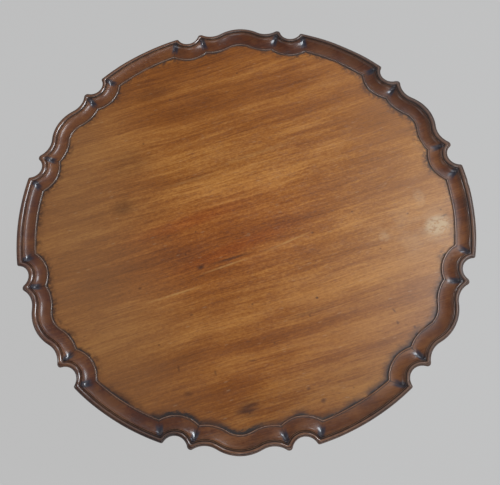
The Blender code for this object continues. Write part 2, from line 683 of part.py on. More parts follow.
def pillar():
    """The turned pillar: spigot, capital, column, vase and the drum that takes the legs."""
    drum_top = PILLAR_CLEARANCE + DRUM_HEIGHT
    vase_low = drum_top + DRUM_RING_HEIGHT + FOOT_COVE_HEIGHT
    vase_high = vase_low + VASE_HEIGHT
    column_low = vase_high + NECK_RING_HEIGHT
    astragal_low = SHOULDER_Z - CAPITAL_FILLET - CAPITAL_COVE_HEIGHT - ASTRAGAL_HEIGHT
    belly = vase_low + VASE_BELLY_RISE
    spigot_top = SHOULDER_Z + SPIGOT_HEIGHT
    pin_top = UPPER_BOTTOM + PIN_ENTRY
    profile = [(0.0, pin_top), (PIN_RADIUS, pin_top), (PIN_RADIUS, spigot_top), (SPIGOT_RADIUS, spigot_top),
               (SPIGOT_RADIUS, SHOULDER_Z), (CAPITAL_RADIUS, SHOULDER_Z)]
    profile += cove(CAPITAL_RADIUS, COLUMN_HEAD_RADIUS, SHOULDER_Z - CAPITAL_FILLET, CAPITAL_COVE_HEIGHT)
    profile += bead(COLUMN_HEAD_RADIUS, astragal_low + ASTRAGAL_HEIGHT, ASTRAGAL_HEIGHT, RING_SWELL)[1:]
    profile += [(COLUMN_FOOT_RADIUS - RING_SWELL, column_low + COLUMN_FLARE_HEIGHT)]
    profile += rising_cove(COLUMN_FOOT_RADIUS - RING_SWELL, COLUMN_FOOT_RADIUS,
                           column_low + COLUMN_FLARE_HEIGHT, COLUMN_FLARE_HEIGHT, FLARE_STEPS)[1:]
    profile += bead(COLUMN_FOOT_RADIUS, column_low, NECK_RING_HEIGHT, RING_SWELL)[1:]
    profile += sweep_line((VASE_NECK_RADIUS, vase_high), (VASE_NECK_RADIUS, vase_high - VASE_NECK_RUN),
                          (VASE_RADIUS, belly + VASE_SHOULDER_RUN), (VASE_RADIUS, belly), VASE_NECK_STEPS)
    profile += sweep_line((VASE_RADIUS, belly), (VASE_RADIUS, belly - VASE_BELLY_RUN),
                          (VASE_FOOT_RADIUS, vase_low + VASE_FOOT_RUN), (VASE_FOOT_RADIUS, vase_low),
                          VASE_FOOT_STEPS)[1:]
    profile += rising_cove(VASE_FOOT_RADIUS, DRUM_RADIUS, vase_low, FOOT_COVE_HEIGHT)[1:]
    profile += bead(DRUM_RADIUS, drum_top + DRUM_RING_HEIGHT, DRUM_RING_HEIGHT, RING_SWELL)[1:]
    profile += [(DRUM_RADIUS, PILLAR_CLEARANCE + DRUM_CHAMFER),
                (DRUM_RADIUS - DRUM_CHAMFER, PILLAR_CLEARANCE), (0.0, PILLAR_CLEARANCE)]
    sockets = []
    for azimuth in leg_azimuths():
        sockets.append(moved(tongue(GAP), rotation=Matrix.Rotation(azimuth, 3, "Z")))
    return cut(turned(profile, PILLAR_STEPS), wedge(GAP, OVERRUN), *sockets)


def leg_azimuths():
    """Headings of the legs, evenly round the pillar."""
    return [FIRST_LEG + tau * i / LEG_COUNT for i in range(LEG_COUNT)]


def tongue(clearance=0.0):
    """The dovetail on the root of a leg that points along +X, or the socket for it."""
    inner = DRUM_RADIUS - TONGUE_DEPTH - clearance
    outer = DRUM_RADIUS + TONGUE_DEPTH / 2
    wide = TONGUE_WIDE / 2 + clearance
    neck = TONGUE_NECK / 2 + clearance
    outline = [(inner, -wide), (DRUM_RADIUS, -neck), (outer, -neck),
               (outer, neck), (DRUM_RADIUS, neck), (inner, wide)]
    low = PILLAR_CLEARANCE - (OVERRUN if clearance else 0.0)
    return prism(outline, low, PILLAR_CLEARANCE + TONGUE_HEIGHT + clearance)


def leg_rings():
    """Sections of a leg along its sweep from inside the drum to inside the pad."""
    root = PILLAR_CLEARANCE + LEG_JOIN_RISE
    foot = SHOE_HEIGHT + PAD_HEIGHT / 2
    knots = (Vector((LEG_ROOT_START, 0, root)), Vector((KNEE_REACH, 0, PILLAR_CLEARANCE + KNEE_RISE)),
             Vector((SHIN_REACH, 0, foot)), Vector((FOOT_REACH, 0, foot)))
    spine = interpolate_bezier(*knots, LEG_RINGS)
    rings = []
    for i, middle in enumerate(spine):
        ahead = spine[min(i + 1, LEG_RINGS - 1)] - spine[max(i - 1, 0)]
        upward = Vector((-ahead.z, 0, ahead.x)).normalized()
        share = i / (LEG_RINGS - 1)
        ease = share * share * (3 - 2 * share)
        depth = LEG_ROOT_DEPTH + (ANKLE_DEPTH - LEG_ROOT_DEPTH) * ease
        width = LEG_ROOT_WIDTH + (ANKLE_WIDTH - LEG_ROOT_WIDTH) * ease
        ring = []
        for k in range(LEG_SIDES):
            turn = tau * (k + 0.5) / LEG_SIDES
            across = abs(cos(turn)) ** LEG_SQUARENESS * (1 if cos(turn) > 0 else -1)
            along = abs(sin(turn)) ** LEG_SQUARENESS * (1 if sin(turn) > 0 else -1)
            ring.append(middle + upward * (along * depth / 2) + Vector((0, across * width / 2, 0)))
        rings.append(ring)
    return rings


def leg():
    """A curved leg along +X with a pad foot and a dovetail, cut to the drum and for the stay."""
    pad_top = SHOE_HEIGHT + PAD_HEIGHT
    pad_middle = SHOE_HEIGHT + PAD_HEIGHT / 2
    pad = [(0.0, pad_top)]
    pad += sweep_line((PAD_TOP_RADIUS, pad_top), (PAD_RADIUS, pad_top), (PAD_RADIUS, pad_top),
                      (PAD_RADIUS, pad_middle), PAD_UPPER_STEPS)
    pad += sweep_line((PAD_RADIUS, pad_middle), (PAD_RADIUS, SHOE_HEIGHT), (PAD_RADIUS, SHOE_HEIGHT),
                      (SHOE_RADIUS, SHOE_HEIGHT), PAD_LOWER_STEPS)[1:]
    pad += [(SHOE_RADIUS, 0.0), (0.0, 0.0)]
    foot = moved(turned(pad, ROUND_STEPS), (FOOT_REACH, 0, 0))
    body = joined(lofted(leg_rings()), foot)
    tall = PILLAR_CLEARANCE + DRUM_HEIGHT + LEG_ROOT_DEPTH
    drum = rod(DRUM_RADIUS + GAP, (0, 0, 0), (0, 0, tall), PILLAR_STEPS)
    side = LEG_ROOT_WIDTH
    seat = box((-side, -side, 0), (STAY_REACH + GAP, side, PILLAR_CLEARANCE))
    cut(body, drum, seat)
    joined(body, tongue())
    places = [(reach, 0, PILLAR_CLEARANCE - GAP - STAY_THICKNESS) for reach in STAY_SCREW_PLACES]
    return cut(body, *screw_holes(STAY_SCREW, places))


def stay_screw_places():
    """Heads of the stay's screws and the turn of the leg that each is in."""
    head = PILLAR_CLEARANCE - GAP - STAY_THICKNESS
    return [((reach * cos(a), reach * sin(a), head), (0, 0, a))
            for a in leg_azimuths() for reach in STAY_SCREW_PLACES]


def stay_plate():
    """Iron with an arm under each leg, let into the legs and screwed to them."""
    outline = []
    spread = tau / LEG_COUNT
    tip_middle = STAY_REACH - STAY_TIP_RADIUS
    for azimuth in leg_azimuths():
        outline.append(polar(STAY_HUB_RADIUS, azimuth - spread / 2))
        middle = polar(tip_middle, azimuth)
        turns = [azimuth - pi / 2 + pi * i / STAY_TIP_STEPS for i in range(STAY_TIP_STEPS + 1)]
        outline += [middle + polar(STAY_TIP_RADIUS, turn) for turn in turns]
    top = PILLAR_CLEARANCE - GAP
    plate = prism(outline, top - STAY_THICKNESS, top)
    holes = [moved(screw_solid(STAY_SCREW, GAP), place, Matrix.Rotation(turn[2], 3, "Z"))
             for place, turn in stay_screw_places()]
    return cut(plate, *holes)


# Catch

def catch_plate():
    """Brass plate with two staples that guide the bolt."""
    half = CATCH_WIDTH / 2
    plate = box((-half, CATCH_FRONT, CATCH_BOTTOM), (half, CATCH_BACK, CATCH_BOTTOM + CATCH_THICKNESS))
    low = BOLT_Z - BOLT_HEIGHT / 2 - GAP - STAPLE_WALL
    across = STAPLE_WIDTH / 2
    starts = (CATCH_FRONT + STAPLE_SETBACK, CATCH_BACK - STAPLE_SETBACK - STAPLE_LENGTH)
    staples = [box((-across, y, low), (across, y + STAPLE_LENGTH, CATCH_BOTTOM + CATCH_THICKNESS / 2))
               for y in starts]
    joined(plate, *staples)
    channel = bolt_passage(GAP, CATCH_FRONT - OVERRUN, CATCH_BACK + OVERRUN)
    return cut(plate, channel, *screw_holes(CATCH_SCREW, catch_screw_places()))


def catch_bolt():
    """The sliding bolt, drawn back, with a bevelled end and a hole for the knob's stud."""
    nose = CATCH_FRONT
    tail = CATCH_BACK - STAPLE_SETBACK + BOLT_TAIL + BOLT_TRAVEL
    low = BOLT_Z - BOLT_HEIGHT / 2
    high = BOLT_Z + BOLT_HEIGHT / 2
    outline = [(nose, low), (tail, low), (tail, high), (nose + BOLT_NOSE, high), (nose, BOLT_Z)]
    upright = Matrix(((0, 0, 1), (1, 0, 0), (0, 1, 0)))
    bar = moved(prism(outline, -BOLT_WIDTH / 2, BOLT_WIDTH / 2), rotation=upright)
    hole = rod(KNOB_STUD_RADIUS + GAP, (0, KNOB_Y, low - OVERRUN),
               (0, KNOB_Y, low + KNOB_STUD_LENGTH + GAP), SCREW_STEPS)
    return cut(bar, hole)


def catch_knob():
    """A turned knob that hangs under the bolt by its stud, from Z 0 at the bolt's underside."""
    neck_low = -GAP - KNOB_NECK_LENGTH
    ball_middle = neck_low - KNOB_HEIGHT / 2
    profile = [(0.0, KNOB_STUD_LENGTH), (KNOB_STUD_RADIUS, KNOB_STUD_LENGTH), (KNOB_STUD_RADIUS, -GAP),
               (KNOB_COLLAR_RADIUS, -GAP), (KNOB_NECK_RADIUS, neck_low / 2), (KNOB_NECK_RADIUS, neck_low)]
    for degrees in KNOB_TURNS:
        a = radians(degrees)
        profile.append((KNOB_RADIUS * cos(a), ball_middle + KNOB_HEIGHT / 2 * sin(a)))
    profile.append((0.0, ball_middle - KNOB_HEIGHT / 2))
    return turned(profile, KNOB_STEPS)


def keeper_blank(clearance=0.0, stand_out=0.0):
    """The keeper's outside, let into the upper plate's back edge, or the recess for it."""
    face = PLATE_SIDE / 2
    across = KEEPER_WIDTH / 2 + clearance
    upward = KEEPER_HEIGHT / 2 + clearance
    return box((-across, face - KEEPER_THICKNESS - clearance, BOLT_Z - upward),
               (across, face + stand_out, BOLT_Z + upward))


def catch_keeper():
    """Brass plate with the hole that the bolt shoots into."""
    face = PLATE_SIDE / 2
    hole = bolt_passage(BOLT_PLAY, face - KEEPER_THICKNESS - OVERRUN, face + OVERRUN)
    return cut(keeper_blank(), hole, *keeper_screw_holes())


# The table

def clear_scene():
    """Remove whatever the scene holds."""
    for thing in list(bpy.data.objects):
        bpy.data.objects.remove(thing)


def build_base(wood, iron, steel):
    """Pillar, legs and stay, with the collar and wedge that hold the cage down."""
    placed(pillar(), "pillar", wood)
    turns = [((0, 0, 0), (0, 0, a)) for a in leg_azimuths()]
    repeated(leg(), numbered("leg", LEG_COUNT), wood, None, turns)
    placed(stay_plate(), "stay_plate", iron)
    places = stay_screw_places()
    repeated(screw_solid(STAY_SCREW), numbered("stay_screw", len(places)), steel, None, places)
    placed(collar(), "cage_collar", wood)
    key = rounded(wedge(), WEDGE_ROUNDING, lambda a, b: abs(a.x - b.x) < GAP)
    placed(key, "cage_wedge", wood)


def build_cage(wood, brass, cage_axis):
    """The birdcage with the keeper of the catch."""
    placed(lower_plate(), "cage_lower_plate", wood, cage_axis)
    placed(upper_plate(), "cage_upper_plate", wood, cage_axis)
    places = [((x, y, LOWER_TOP), (0, 0, 0)) for x, y in baluster_places()]
    repeated(baluster(), numbered("cage_baluster", len(places)), wood, cage_axis, places)
    placed(catch_keeper(), "catch_keeper", brass, cage_axis)
    places = [(place, (pi / 2, 0, 0)) for place in keeper_screw_places()]
    repeated(screw_solid(KEEPER_SCREW), numbered("keeper_screw", len(places)), brass, cage_axis, places)


def build_top(top_wood, wood, brass, steel, tilt_axis):
    """The board, its bearers and the fixed pieces of the catch."""
    placed(table_top(), "table_top", top_wood, tilt_axis)
    for side, name in ((-1, "bearer_left"), (1, "bearer_right")):
        placed(bearer(side), name, wood, tilt_axis)
    places = [(place, (0, 0, 0)) for place in bearer_screw_places()]
    repeated(screw_solid(BEARER_SCREW), numbered("bearer_screw", len(places)), steel, tilt_axis, places)
    placed(catch_plate(), "catch_plate", brass, tilt_axis)
    places = [(place, (0, 0, 0)) for place in catch_screw_places()]
    repeated(screw_solid(CATCH_SCREW), numbered("catch_screw", len(places)), brass, tilt_axis, places)


def build_bolt(brass, bolt_axis):
    """The bolt and its knob."""
    placed(catch_bolt(), "catch_bolt", brass, bolt_axis)
    placed(catch_knob(), "catch_knob", brass, bolt_axis, (0, KNOB_Y, BOLT_Z - BOLT_HEIGHT / 2))


def main():
    """Build the whole table."""
    clear_scene()
    top_wood = finish("top_mahogany", (0.246, 0.098, 0.033), 0.32)
    wood = finish("base_mahogany", (0.098, 0.034, 0.017), 0.35)
    brass = finish("brass", (0.50, 0.33, 0.11), 0.38, 1.0)
    iron = finish("wrought_iron", (0.035, 0.032, 0.030), 0.62, 0.9)
    steel = finish("screw_steel", (0.11, 0.105, 0.10), 0.48, 1.0)
    cage_axis = axis_mark("cage_axis", (0, 0, SHOULDER_Z))
    tilt_axis = axis_mark("tilt_axis", (0, PINTLE_Y, PINTLE_Z), cage_axis)
    bolt_axis = axis_mark("bolt_axis", (0, CATCH_FRONT, BOLT_Z), tilt_axis)
    build_base(wood, iron, steel)
    build_cage(wood, brass, cage_axis)
    build_top(top_wood, wood, brass, steel, tilt_axis)
    build_bolt(brass, bolt_axis)


main()
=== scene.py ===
"""Looks of a scalloped tilt-top tea table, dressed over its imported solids.

The board with its carved rim follows the photograph. The birdcage, pillar, legs and catch under
it are finished as a table of this kind usually is. Metres, +Z up, grain of the board along X.
"""

import logging
from contextlib import contextmanager
from dataclasses import dataclass, field
from enum import Enum
from functools import reduce
from math import acos, atan2, cos, degrees, exp, pi, radians, sin, sqrt, tau
from operator import or_
from typing import Any, Iterator, Optional, Sequence, Union

import bmesh
import bpy
from mathutils import Matrix, Vector, noise
from mathutils.geometry import interpolate_bezier


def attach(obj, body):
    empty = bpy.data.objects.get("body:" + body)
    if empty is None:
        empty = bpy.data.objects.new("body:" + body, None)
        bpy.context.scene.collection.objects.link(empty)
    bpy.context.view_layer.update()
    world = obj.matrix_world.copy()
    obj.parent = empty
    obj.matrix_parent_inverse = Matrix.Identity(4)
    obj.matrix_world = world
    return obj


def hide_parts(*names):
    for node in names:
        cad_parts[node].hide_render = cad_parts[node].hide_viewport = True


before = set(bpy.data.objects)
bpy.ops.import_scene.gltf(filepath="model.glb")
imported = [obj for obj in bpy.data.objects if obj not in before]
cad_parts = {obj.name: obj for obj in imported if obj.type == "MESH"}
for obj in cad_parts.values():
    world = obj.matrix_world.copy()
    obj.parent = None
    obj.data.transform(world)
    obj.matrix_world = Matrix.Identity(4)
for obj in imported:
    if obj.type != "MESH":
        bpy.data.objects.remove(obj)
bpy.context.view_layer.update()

log = logging.getLogger("tea_table")

Piece = bpy.types.Object
Pair = tuple[float, float]
Colour = tuple[float, float, float]
Place = tuple[float, float, float]
Outline = list[Pair]
Stops = tuple[Pair, ...]
Mark = tuple[Pair, Pair, float, float]
Run = tuple[float, float, float, float]

GAP = 0.0003
OVERRUN = 0.004
PARALLEL = 0.9
MERGE = 1e-6


class Carrier(Enum):
    """The bodies that pieces move with."""

    BASE = "base"
    CAGE = "cage"
    TOP = "top"
    BOLT = "bolt"


class Slot(Enum):
    """The record's material slots."""

    TOP_WOOD = "top_wood"
    BASE_WOOD = "base_wood"
    BRASS = "brass"
    IRON = "iron"
    STEEL = "steel"


class Grain(Enum):
    """Ways that the grain of a wooden piece can run."""

    ALONG_X = "x"
    ALONG_Y = "y"
    UPRIGHT = "z"
    OUTWARD = "leg"


# Plane geometry


def polar(radius: float, angle: float) -> Vector:
    """A point of the plane by its radius and angle."""
    return Vector((radius * cos(angle), radius * sin(angle)))


def apex_angle(side_a: float, side_b: float, opposite: float) -> float:
    """The angle between two sides of a triangle, from the side opposite it."""
    return acos((side_a**2 + side_b**2 - opposite**2) / (2 * side_a * side_b))


def crossings(centre_a: Vector, radius_a: float, centre_b: Vector, radius_b: float) -> tuple[Vector, Vector]:
    """Find where two circles cross.

    Args:
        centre_a: Centre of the first circle.
        radius_a: Radius of the first circle.
        centre_b: Centre of the second circle.
        radius_b: Radius of the second circle.

    Returns:
        Both points.
    """
    span = centre_b - centre_a
    along = (span.length_squared + radius_a**2 - radius_b**2) / (2 * span.length)
    across = Vector((-span.y, span.x)).normalized() * sqrt(radius_a**2 - along**2)
    foot = centre_a + span.normalized() * along
    return foot + across, foot - across


def between(stops: Sequence[Pair], where: float) -> float:
    """Read a value off a line of straight runs.

    Args:
        stops: (where, value) pairs in rising order.
        where: The place to read at.

    Returns:
        The value there, held level past both ends.
    """
    if where <= stops[0][0]:
        return stops[0][1]
    for (low, first), (high, second) in zip(stops, stops[1:]):
        if where <= high:
            return first + (second - first) * (where - low) / (high - low)
    return stops[-1][1]


class Arc:
    """An arc of the outline, walked from its start to its end."""

    def __init__(self, centre: Vector, start: Vector, end: Vector) -> None:
        """Take the shorter way round from start to end."""
        self.centre = centre
        self.radius = (start - centre).length
        self.first = atan2(start.y - centre.y, start.x - centre.x)
        last = atan2(end.y - centre.y, end.x - centre.x)
        self.sweep = (last - self.first + pi) % tau - pi
        self.length = abs(self.sweep) * self.radius

    def point(self, walked: float) -> Vector:
        """The point at a distance from the start."""
        return self.centre + polar(self.radius, self.first + self.sweep * walked / self.length)


class Profile:
    """A turner's outline, drawn from the top down as (radius, height) points."""

    sharpness: float = 2.2

    def __init__(self, radius: float, height: float) -> None:
        """Start at a point."""
        self.points: Outline = [(radius, height)]

    def line(self, radius: float, height: float) -> "Profile":
        """Go straight to a point."""
        self.points.append((radius, height))
        return self

    def bead(self, depth: float, swell: float, steps: int = 14) -> "Profile":
        """Turn a half-round ring.

        Args:
            depth: Height of the ring.
            swell: How far it stands out.
            steps: Facets of the half round.

        Returns:
            The profile, to draw on.
        """
        radius, top = self.points[-1]
        for i in range(1, steps + 1):
            turn = pi / 2 - pi * i / steps
            self.points.append((radius + swell * cos(turn), top - depth / 2 + depth / 2 * sin(turn)))
        return self

    def cove(self, radius: float, depth: float, steps: int = 12) -> "Profile":
        """Turn a hollow down to a narrower or a wider radius.

        Args:
            radius: Radius at the hollow's foot.
            depth: Height of the hollow.
            steps: Facets of the hollow.

        Returns:
            The profile, to draw on.
        """
        start, top = self.points[-1]
        for i in range(1, steps + 1):
            quick, slow = sin(pi / 2 * i / steps), 1 - cos(pi / 2 * i / steps)
            inward, down = (quick, slow) if radius < start else (slow, quick)
            self.points.append((start + (radius - start) * inward, top - depth * down))
        return self

    def sweep(self, handle_a: Pair, handle_b: Pair,
              end: Pair, steps: int = 18) -> "Profile":
        """Turn a free curve.

        Args:
            handle_a: Handle by the start.
            handle_b: Handle by the end.
            end: The last point.
            steps: Facets of the curve.

        Returns:
            The profile, to draw on.
        """
        knots = [Vector((r, z)) for r, z in (self.points[-1], handle_a, handle_b, end)]
        self.points += [(p.x, p.y) for p in interpolate_bezier(*knots, steps + 1)[1:]]
        return self

    def hollows(self) -> list[float]:
        """How hollow (above 0) or proud (below 0) each point lies, for dirt and wear."""
        marks = [0.0]
        for before, here, after in zip(self.points, self.points[1:], self.points[2:]):
            first = Vector(here) - Vector(before)
            second = Vector(after) - Vector(here)
            turn = first.x * second.y - first.y * second.x
            scale = first.length * second.length
            marks.append(max(-1.0, min(1.0, self.sharpness * turn / scale)) if scale > 0 else 0.0)
        return marks + [0.0]


# Modelling steps


def deselect() -> None:
    """Pick nothing."""
    bpy.ops.object.select_all(action="DESELECT")


def take(piece: Piece) -> None:
    """Make a piece the only one picked."""
    deselect()
    piece.select_set(True)
    bpy.context.view_layer.objects.active = piece


@contextmanager
def editing(piece: Piece, mode: str = "VERT") -> Iterator[bmesh.types.BMesh]:
    """Open a piece in edit mode with nothing picked, and close it afterwards.

    Args:
        piece: The piece to open.
        mode: What is picked there: VERT, EDGE or FACE.

    Returns:
        The mesh while it is open.
    """
    take(piece)
    bpy.ops.object.mode_set(mode="EDIT")
    bpy.ops.mesh.select_mode(type=mode)
    bpy.ops.mesh.select_all(action="DESELECT")
    yield bmesh.from_edit_mesh(piece.data)
    bpy.ops.object.mode_set(mode="OBJECT")


def named(name: str) -> Piece:
    """Name the piece just added and set its place into its mesh."""
    piece = bpy.context.active_object
    piece.name = name
    piece.data.name = name
    bpy.ops.object.transform_apply(location=True, rotation=True, scale=True)
    return piece


def block(name: str, low: Sequence[float], high: Sequence[float]) -> Piece:
    """Add a block between two corners."""
    deselect()
    low, high = Vector(low), Vector(high)
    bpy.ops.mesh.primitive_cube_add(size=1.0, location=(low + high) / 2, scale=high - low)
    return named(name)


def bar(name: str, half: Sequence[float], height: float, start: float, end: float) -> Piece:
    """Add a block along Y from start to end, with its half width and half height about X = 0 and a height."""
    wide, tall = half
    return block(name, (-wide, start, height - tall), (wide, end, height + tall))


def rod(name: str, radius: float, start: Sequence[float], end: Sequence[float],
        sides: int = 40) -> Piece:
    """Add a round rod.

    Args:
        name: Name of the piece.
        radius: The rod's radius.
        start: Middle of one end.
        end: Middle of the other end.
        sides: Facets round the rod.

    Returns:
        The rod.
    """
    deselect()
    start, end = Vector(start), Vector(end)
    axis = end - start
    turn = axis.to_track_quat("Z", "Y").to_euler()
    bpy.ops.mesh.primitive_cylinder_add(vertices=sides, radius=radius, depth=axis.length,
                                        location=(start + end) / 2, rotation=turn)
    return named(name)


def round_edges(piece: Piece, width: float, segments: int, low: Sequence[float],
                high: Sequence[float], along: Optional[int] = None) -> None:
    """Round the edges that lie inside a box.

    Args:
        piece: The piece to round.
        width: How far the rounding runs from each edge.
        segments: Facets of the rounding.
        low: Lowest corner of the box.
        high: Highest corner of the box.
        along: Axis that the edges follow, or None for any.
    """
    low, high = Vector(low), Vector(high)
    with editing(piece, "EDGE") as mesh:
        for edge in mesh.edges:
            ends = [v.co for v in edge.verts]
            inside = all(low[i] <= p[i] <= high[i] for p in ends for i in range(3))
            run = ends[1] - ends[0]
            if inside and (along is None or abs(run[along]) > PARALLEL * run.length):
                edge.select_set(True)
        bpy.ops.mesh.bevel(offset=width, segments=segments, profile=0.5, affect="EDGES")


def apply(piece: Piece, kind: str, **settings: Any) -> None:
    """Add a modifier with its settings and apply it."""
    step = piece.modifiers.new(kind.lower(), kind)
    for name, value in settings.items():
        setattr(step, name, value)
    take(piece)
    bpy.ops.object.modifier_apply(modifier=step.name)


def combine(piece: Piece, operation: str, *tools: Piece) -> Piece:
    """Join tools to a piece (UNION) or cut them from it (DIFFERENCE), and drop them."""
    for tool in tools:
        apply(piece, "BOOLEAN", object=tool, operation=operation, solver="EXACT")
        bpy.data.objects.remove(tool)
    return piece


def soften(piece: Piece, width: float, segments: int = 2, angle: float = 38.0) -> None:
    """Take the sharpness off every edge that turns by more than an angle in degrees."""
    apply(piece, "BEVEL", width=width, segments=segments, limit_method="ANGLE",
          angle_limit=radians(angle), use_clamp_overlap=True)


def tidy(piece: Piece) -> None:
    """Merge doubled points and turn all faces outwards."""
    with editing(piece):
        bpy.ops.mesh.select_all(action="SELECT")
        bpy.ops.mesh.remove_doubles(threshold=MERGE)
        bpy.ops.mesh.normals_make_consistent(inside=False)


def lathe(name: str, profile: Profile, sides: int) -> Piece:
    """Turn a profile about Z.

    A profile that never reaches the axis ends where it starts.

    Args:
        name: Name of the piece.
        profile: The outline to turn.
        sides: Facets round the piece.

    Returns:
        The piece, with the layer "hollow" for dirt and wear.
    """
    deselect()
    radius, height = profile.points[0]
    bpy.ops.mesh.primitive_plane_add(size=0.001, location=(radius, 0, height))
    piece = named(name)
    with editing(piece):
        bpy.ops.mesh.select_all(action="SELECT")
        bpy.ops.mesh.merge(type="CENTER")
        mesh = bmesh.from_edit_mesh(piece.data)
        mesh.verts.layers.float.new("hollow")
        marks = profile.hollows()
        for mark, before, after in zip(marks[1:], profile.points, profile.points[1:]):
            step = (after[0] - before[0], 0, after[1] - before[1])
            bpy.ops.mesh.extrude_region_move(TRANSFORM_OT_translate={"value": step})
            mesh = bmesh.from_edit_mesh(piece.data)
            layer = mesh.verts.layers.float["hollow"]
            for vertex in mesh.verts:
                if vertex.select:
                    vertex[layer] = mark
        bpy.ops.mesh.select_all(action="SELECT")
        bpy.ops.mesh.spin(steps=sides, angle=tau, center=(0, 0, 0), axis=(0, 0, 1), use_auto_merge=True)
    tidy(piece)
    return piece


def loft(name: str, rings: Sequence[Sequence[Place]], capped: bool = True,
         layers: Optional[dict[str, Sequence[Sequence[float]]]] = None) -> Piece:
    """Extrude a ring of points from level to level.

    Args:
        name: Name of the piece.
        rings: The ring's points at each level, as many at every level.
        capped: True closes both ends with a face; False merges end rings that meet in a point.
        layers: Values of named layers, for each point of each level.

    Returns:
        The piece.
    """
    deselect()
    layers = layers or {}
    bpy.ops.mesh.primitive_circle_add(vertices=len(rings[0]), radius=1.0, fill_type="NOTHING")
    piece = named(name)
    with editing(piece) as mesh:
        mesh.verts.layers.int.new("station")
        for key in layers:
            mesh.verts.layers.float.new(key)
        station = mesh.verts.layers.int["station"]
        for index, vertex in enumerate(mesh.verts):
            vertex[station] = index
        bpy.ops.mesh.select_all(action="SELECT")
        for level, ring in enumerate(rings):
            if level:
                bpy.ops.mesh.extrude_region_move()
            mesh = bmesh.from_edit_mesh(piece.data)
            station = mesh.verts.layers.int["station"]
            marks = [(mesh.verts.layers.float[key], values[level]) for key, values in layers.items()]
            for vertex in mesh.verts:
                if vertex.select:
                    index = vertex[station]
                    vertex.co = ring[index]
                    for layer, values in marks:
                        vertex[layer] = values[index]
            if capped and level in (0, len(rings) - 1):
                bpy.ops.mesh.edge_face_add()
        bmesh.update_edit_mesh(piece.data)
    piece.data.attributes.remove(piece.data.attributes["station"])
    tidy(piece)
    return piece


def repeat(pattern: Piece, stem: str, places: Sequence[Matrix]) -> list[Piece]:
    """Copy a pattern to its places, each with its own mesh, and drop it.

    Args:
        pattern: The piece to copy.
        stem: The copies' name without their number.
        places: Where they go.

    Returns:
        The copies.
    """
    twins = []
    for number, place in enumerate(places, 1):
        twin = pattern.copy()
        twin.data = pattern.data.copy()
        twin.name = twin.data.name = f"{stem}_{number}"
        bpy.context.scene.collection.objects.link(twin)
        twin.data.transform(place)
        twins.append(twin)
    bpy.data.objects.remove(pattern)
    return twins


def fit(piece: Piece, carrier: Carrier, node: str, finish: "Finish", smooth: float = 35.0) -> None:
    """Shade, dress and hang a finished piece on its body.

    Args:
        piece: The piece.
        carrier: The body it moves with.
        node: The solid it stands for.
        finish: What it is made of.
        smooth: Edges that turn by less than these degrees are shaded round.
    """
    take(piece)
    bpy.ops.object.shade_smooth_by_angle(angle=radians(smooth))
    piece.data.materials.clear()
    piece.data.materials.append(finish.material())
    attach(piece, carrier.value)
    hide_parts(node)
    log.info("%s rides on %s: %d faces", piece.name, carrier.value, len(piece.data.polygons))


# Shader sheets


class Wire:
    """A socket on a sheet of nodes, with sums and products that add Math nodes."""

    def __init__(self, sheet: "NodeSheet", socket: bpy.types.NodeSocket) -> None:
        """Keep the socket and the sheet it is on."""
        self.sheet = sheet
        self.socket = socket

    def math(self, operation: str, first: "Value", second: "Value") -> "Wire":
        """Add a Math node."""
        return self.sheet.add("Math", {"operation": operation}, {0: first, 1: second})

    def __add__(self, other: "Value") -> "Wire":
        """Sum."""
        return self.math("ADD", self, other)

    def __radd__(self, other: "Value") -> "Wire":
        """Sum with a number first."""
        return self.math("ADD", other, self)

    def __sub__(self, other: "Value") -> "Wire":
        """Difference."""
        return self.math("SUBTRACT", self, other)

    def __rsub__(self, other: "Value") -> "Wire":
        """Difference with a number first."""
        return self.math("SUBTRACT", other, self)

    def __mul__(self, other: "Value") -> "Wire":
        """Product."""
        return self.math("MULTIPLY", self, other)

    def __rmul__(self, other: "Value") -> "Wire":
        """Product with a number first."""
        return self.math("MULTIPLY", other, self)

    def __or__(self, other: "Value") -> "Wire":
        """The larger of two masks."""
        return self.math("MAXIMUM", self, other)


Value = Union[Wire, float]


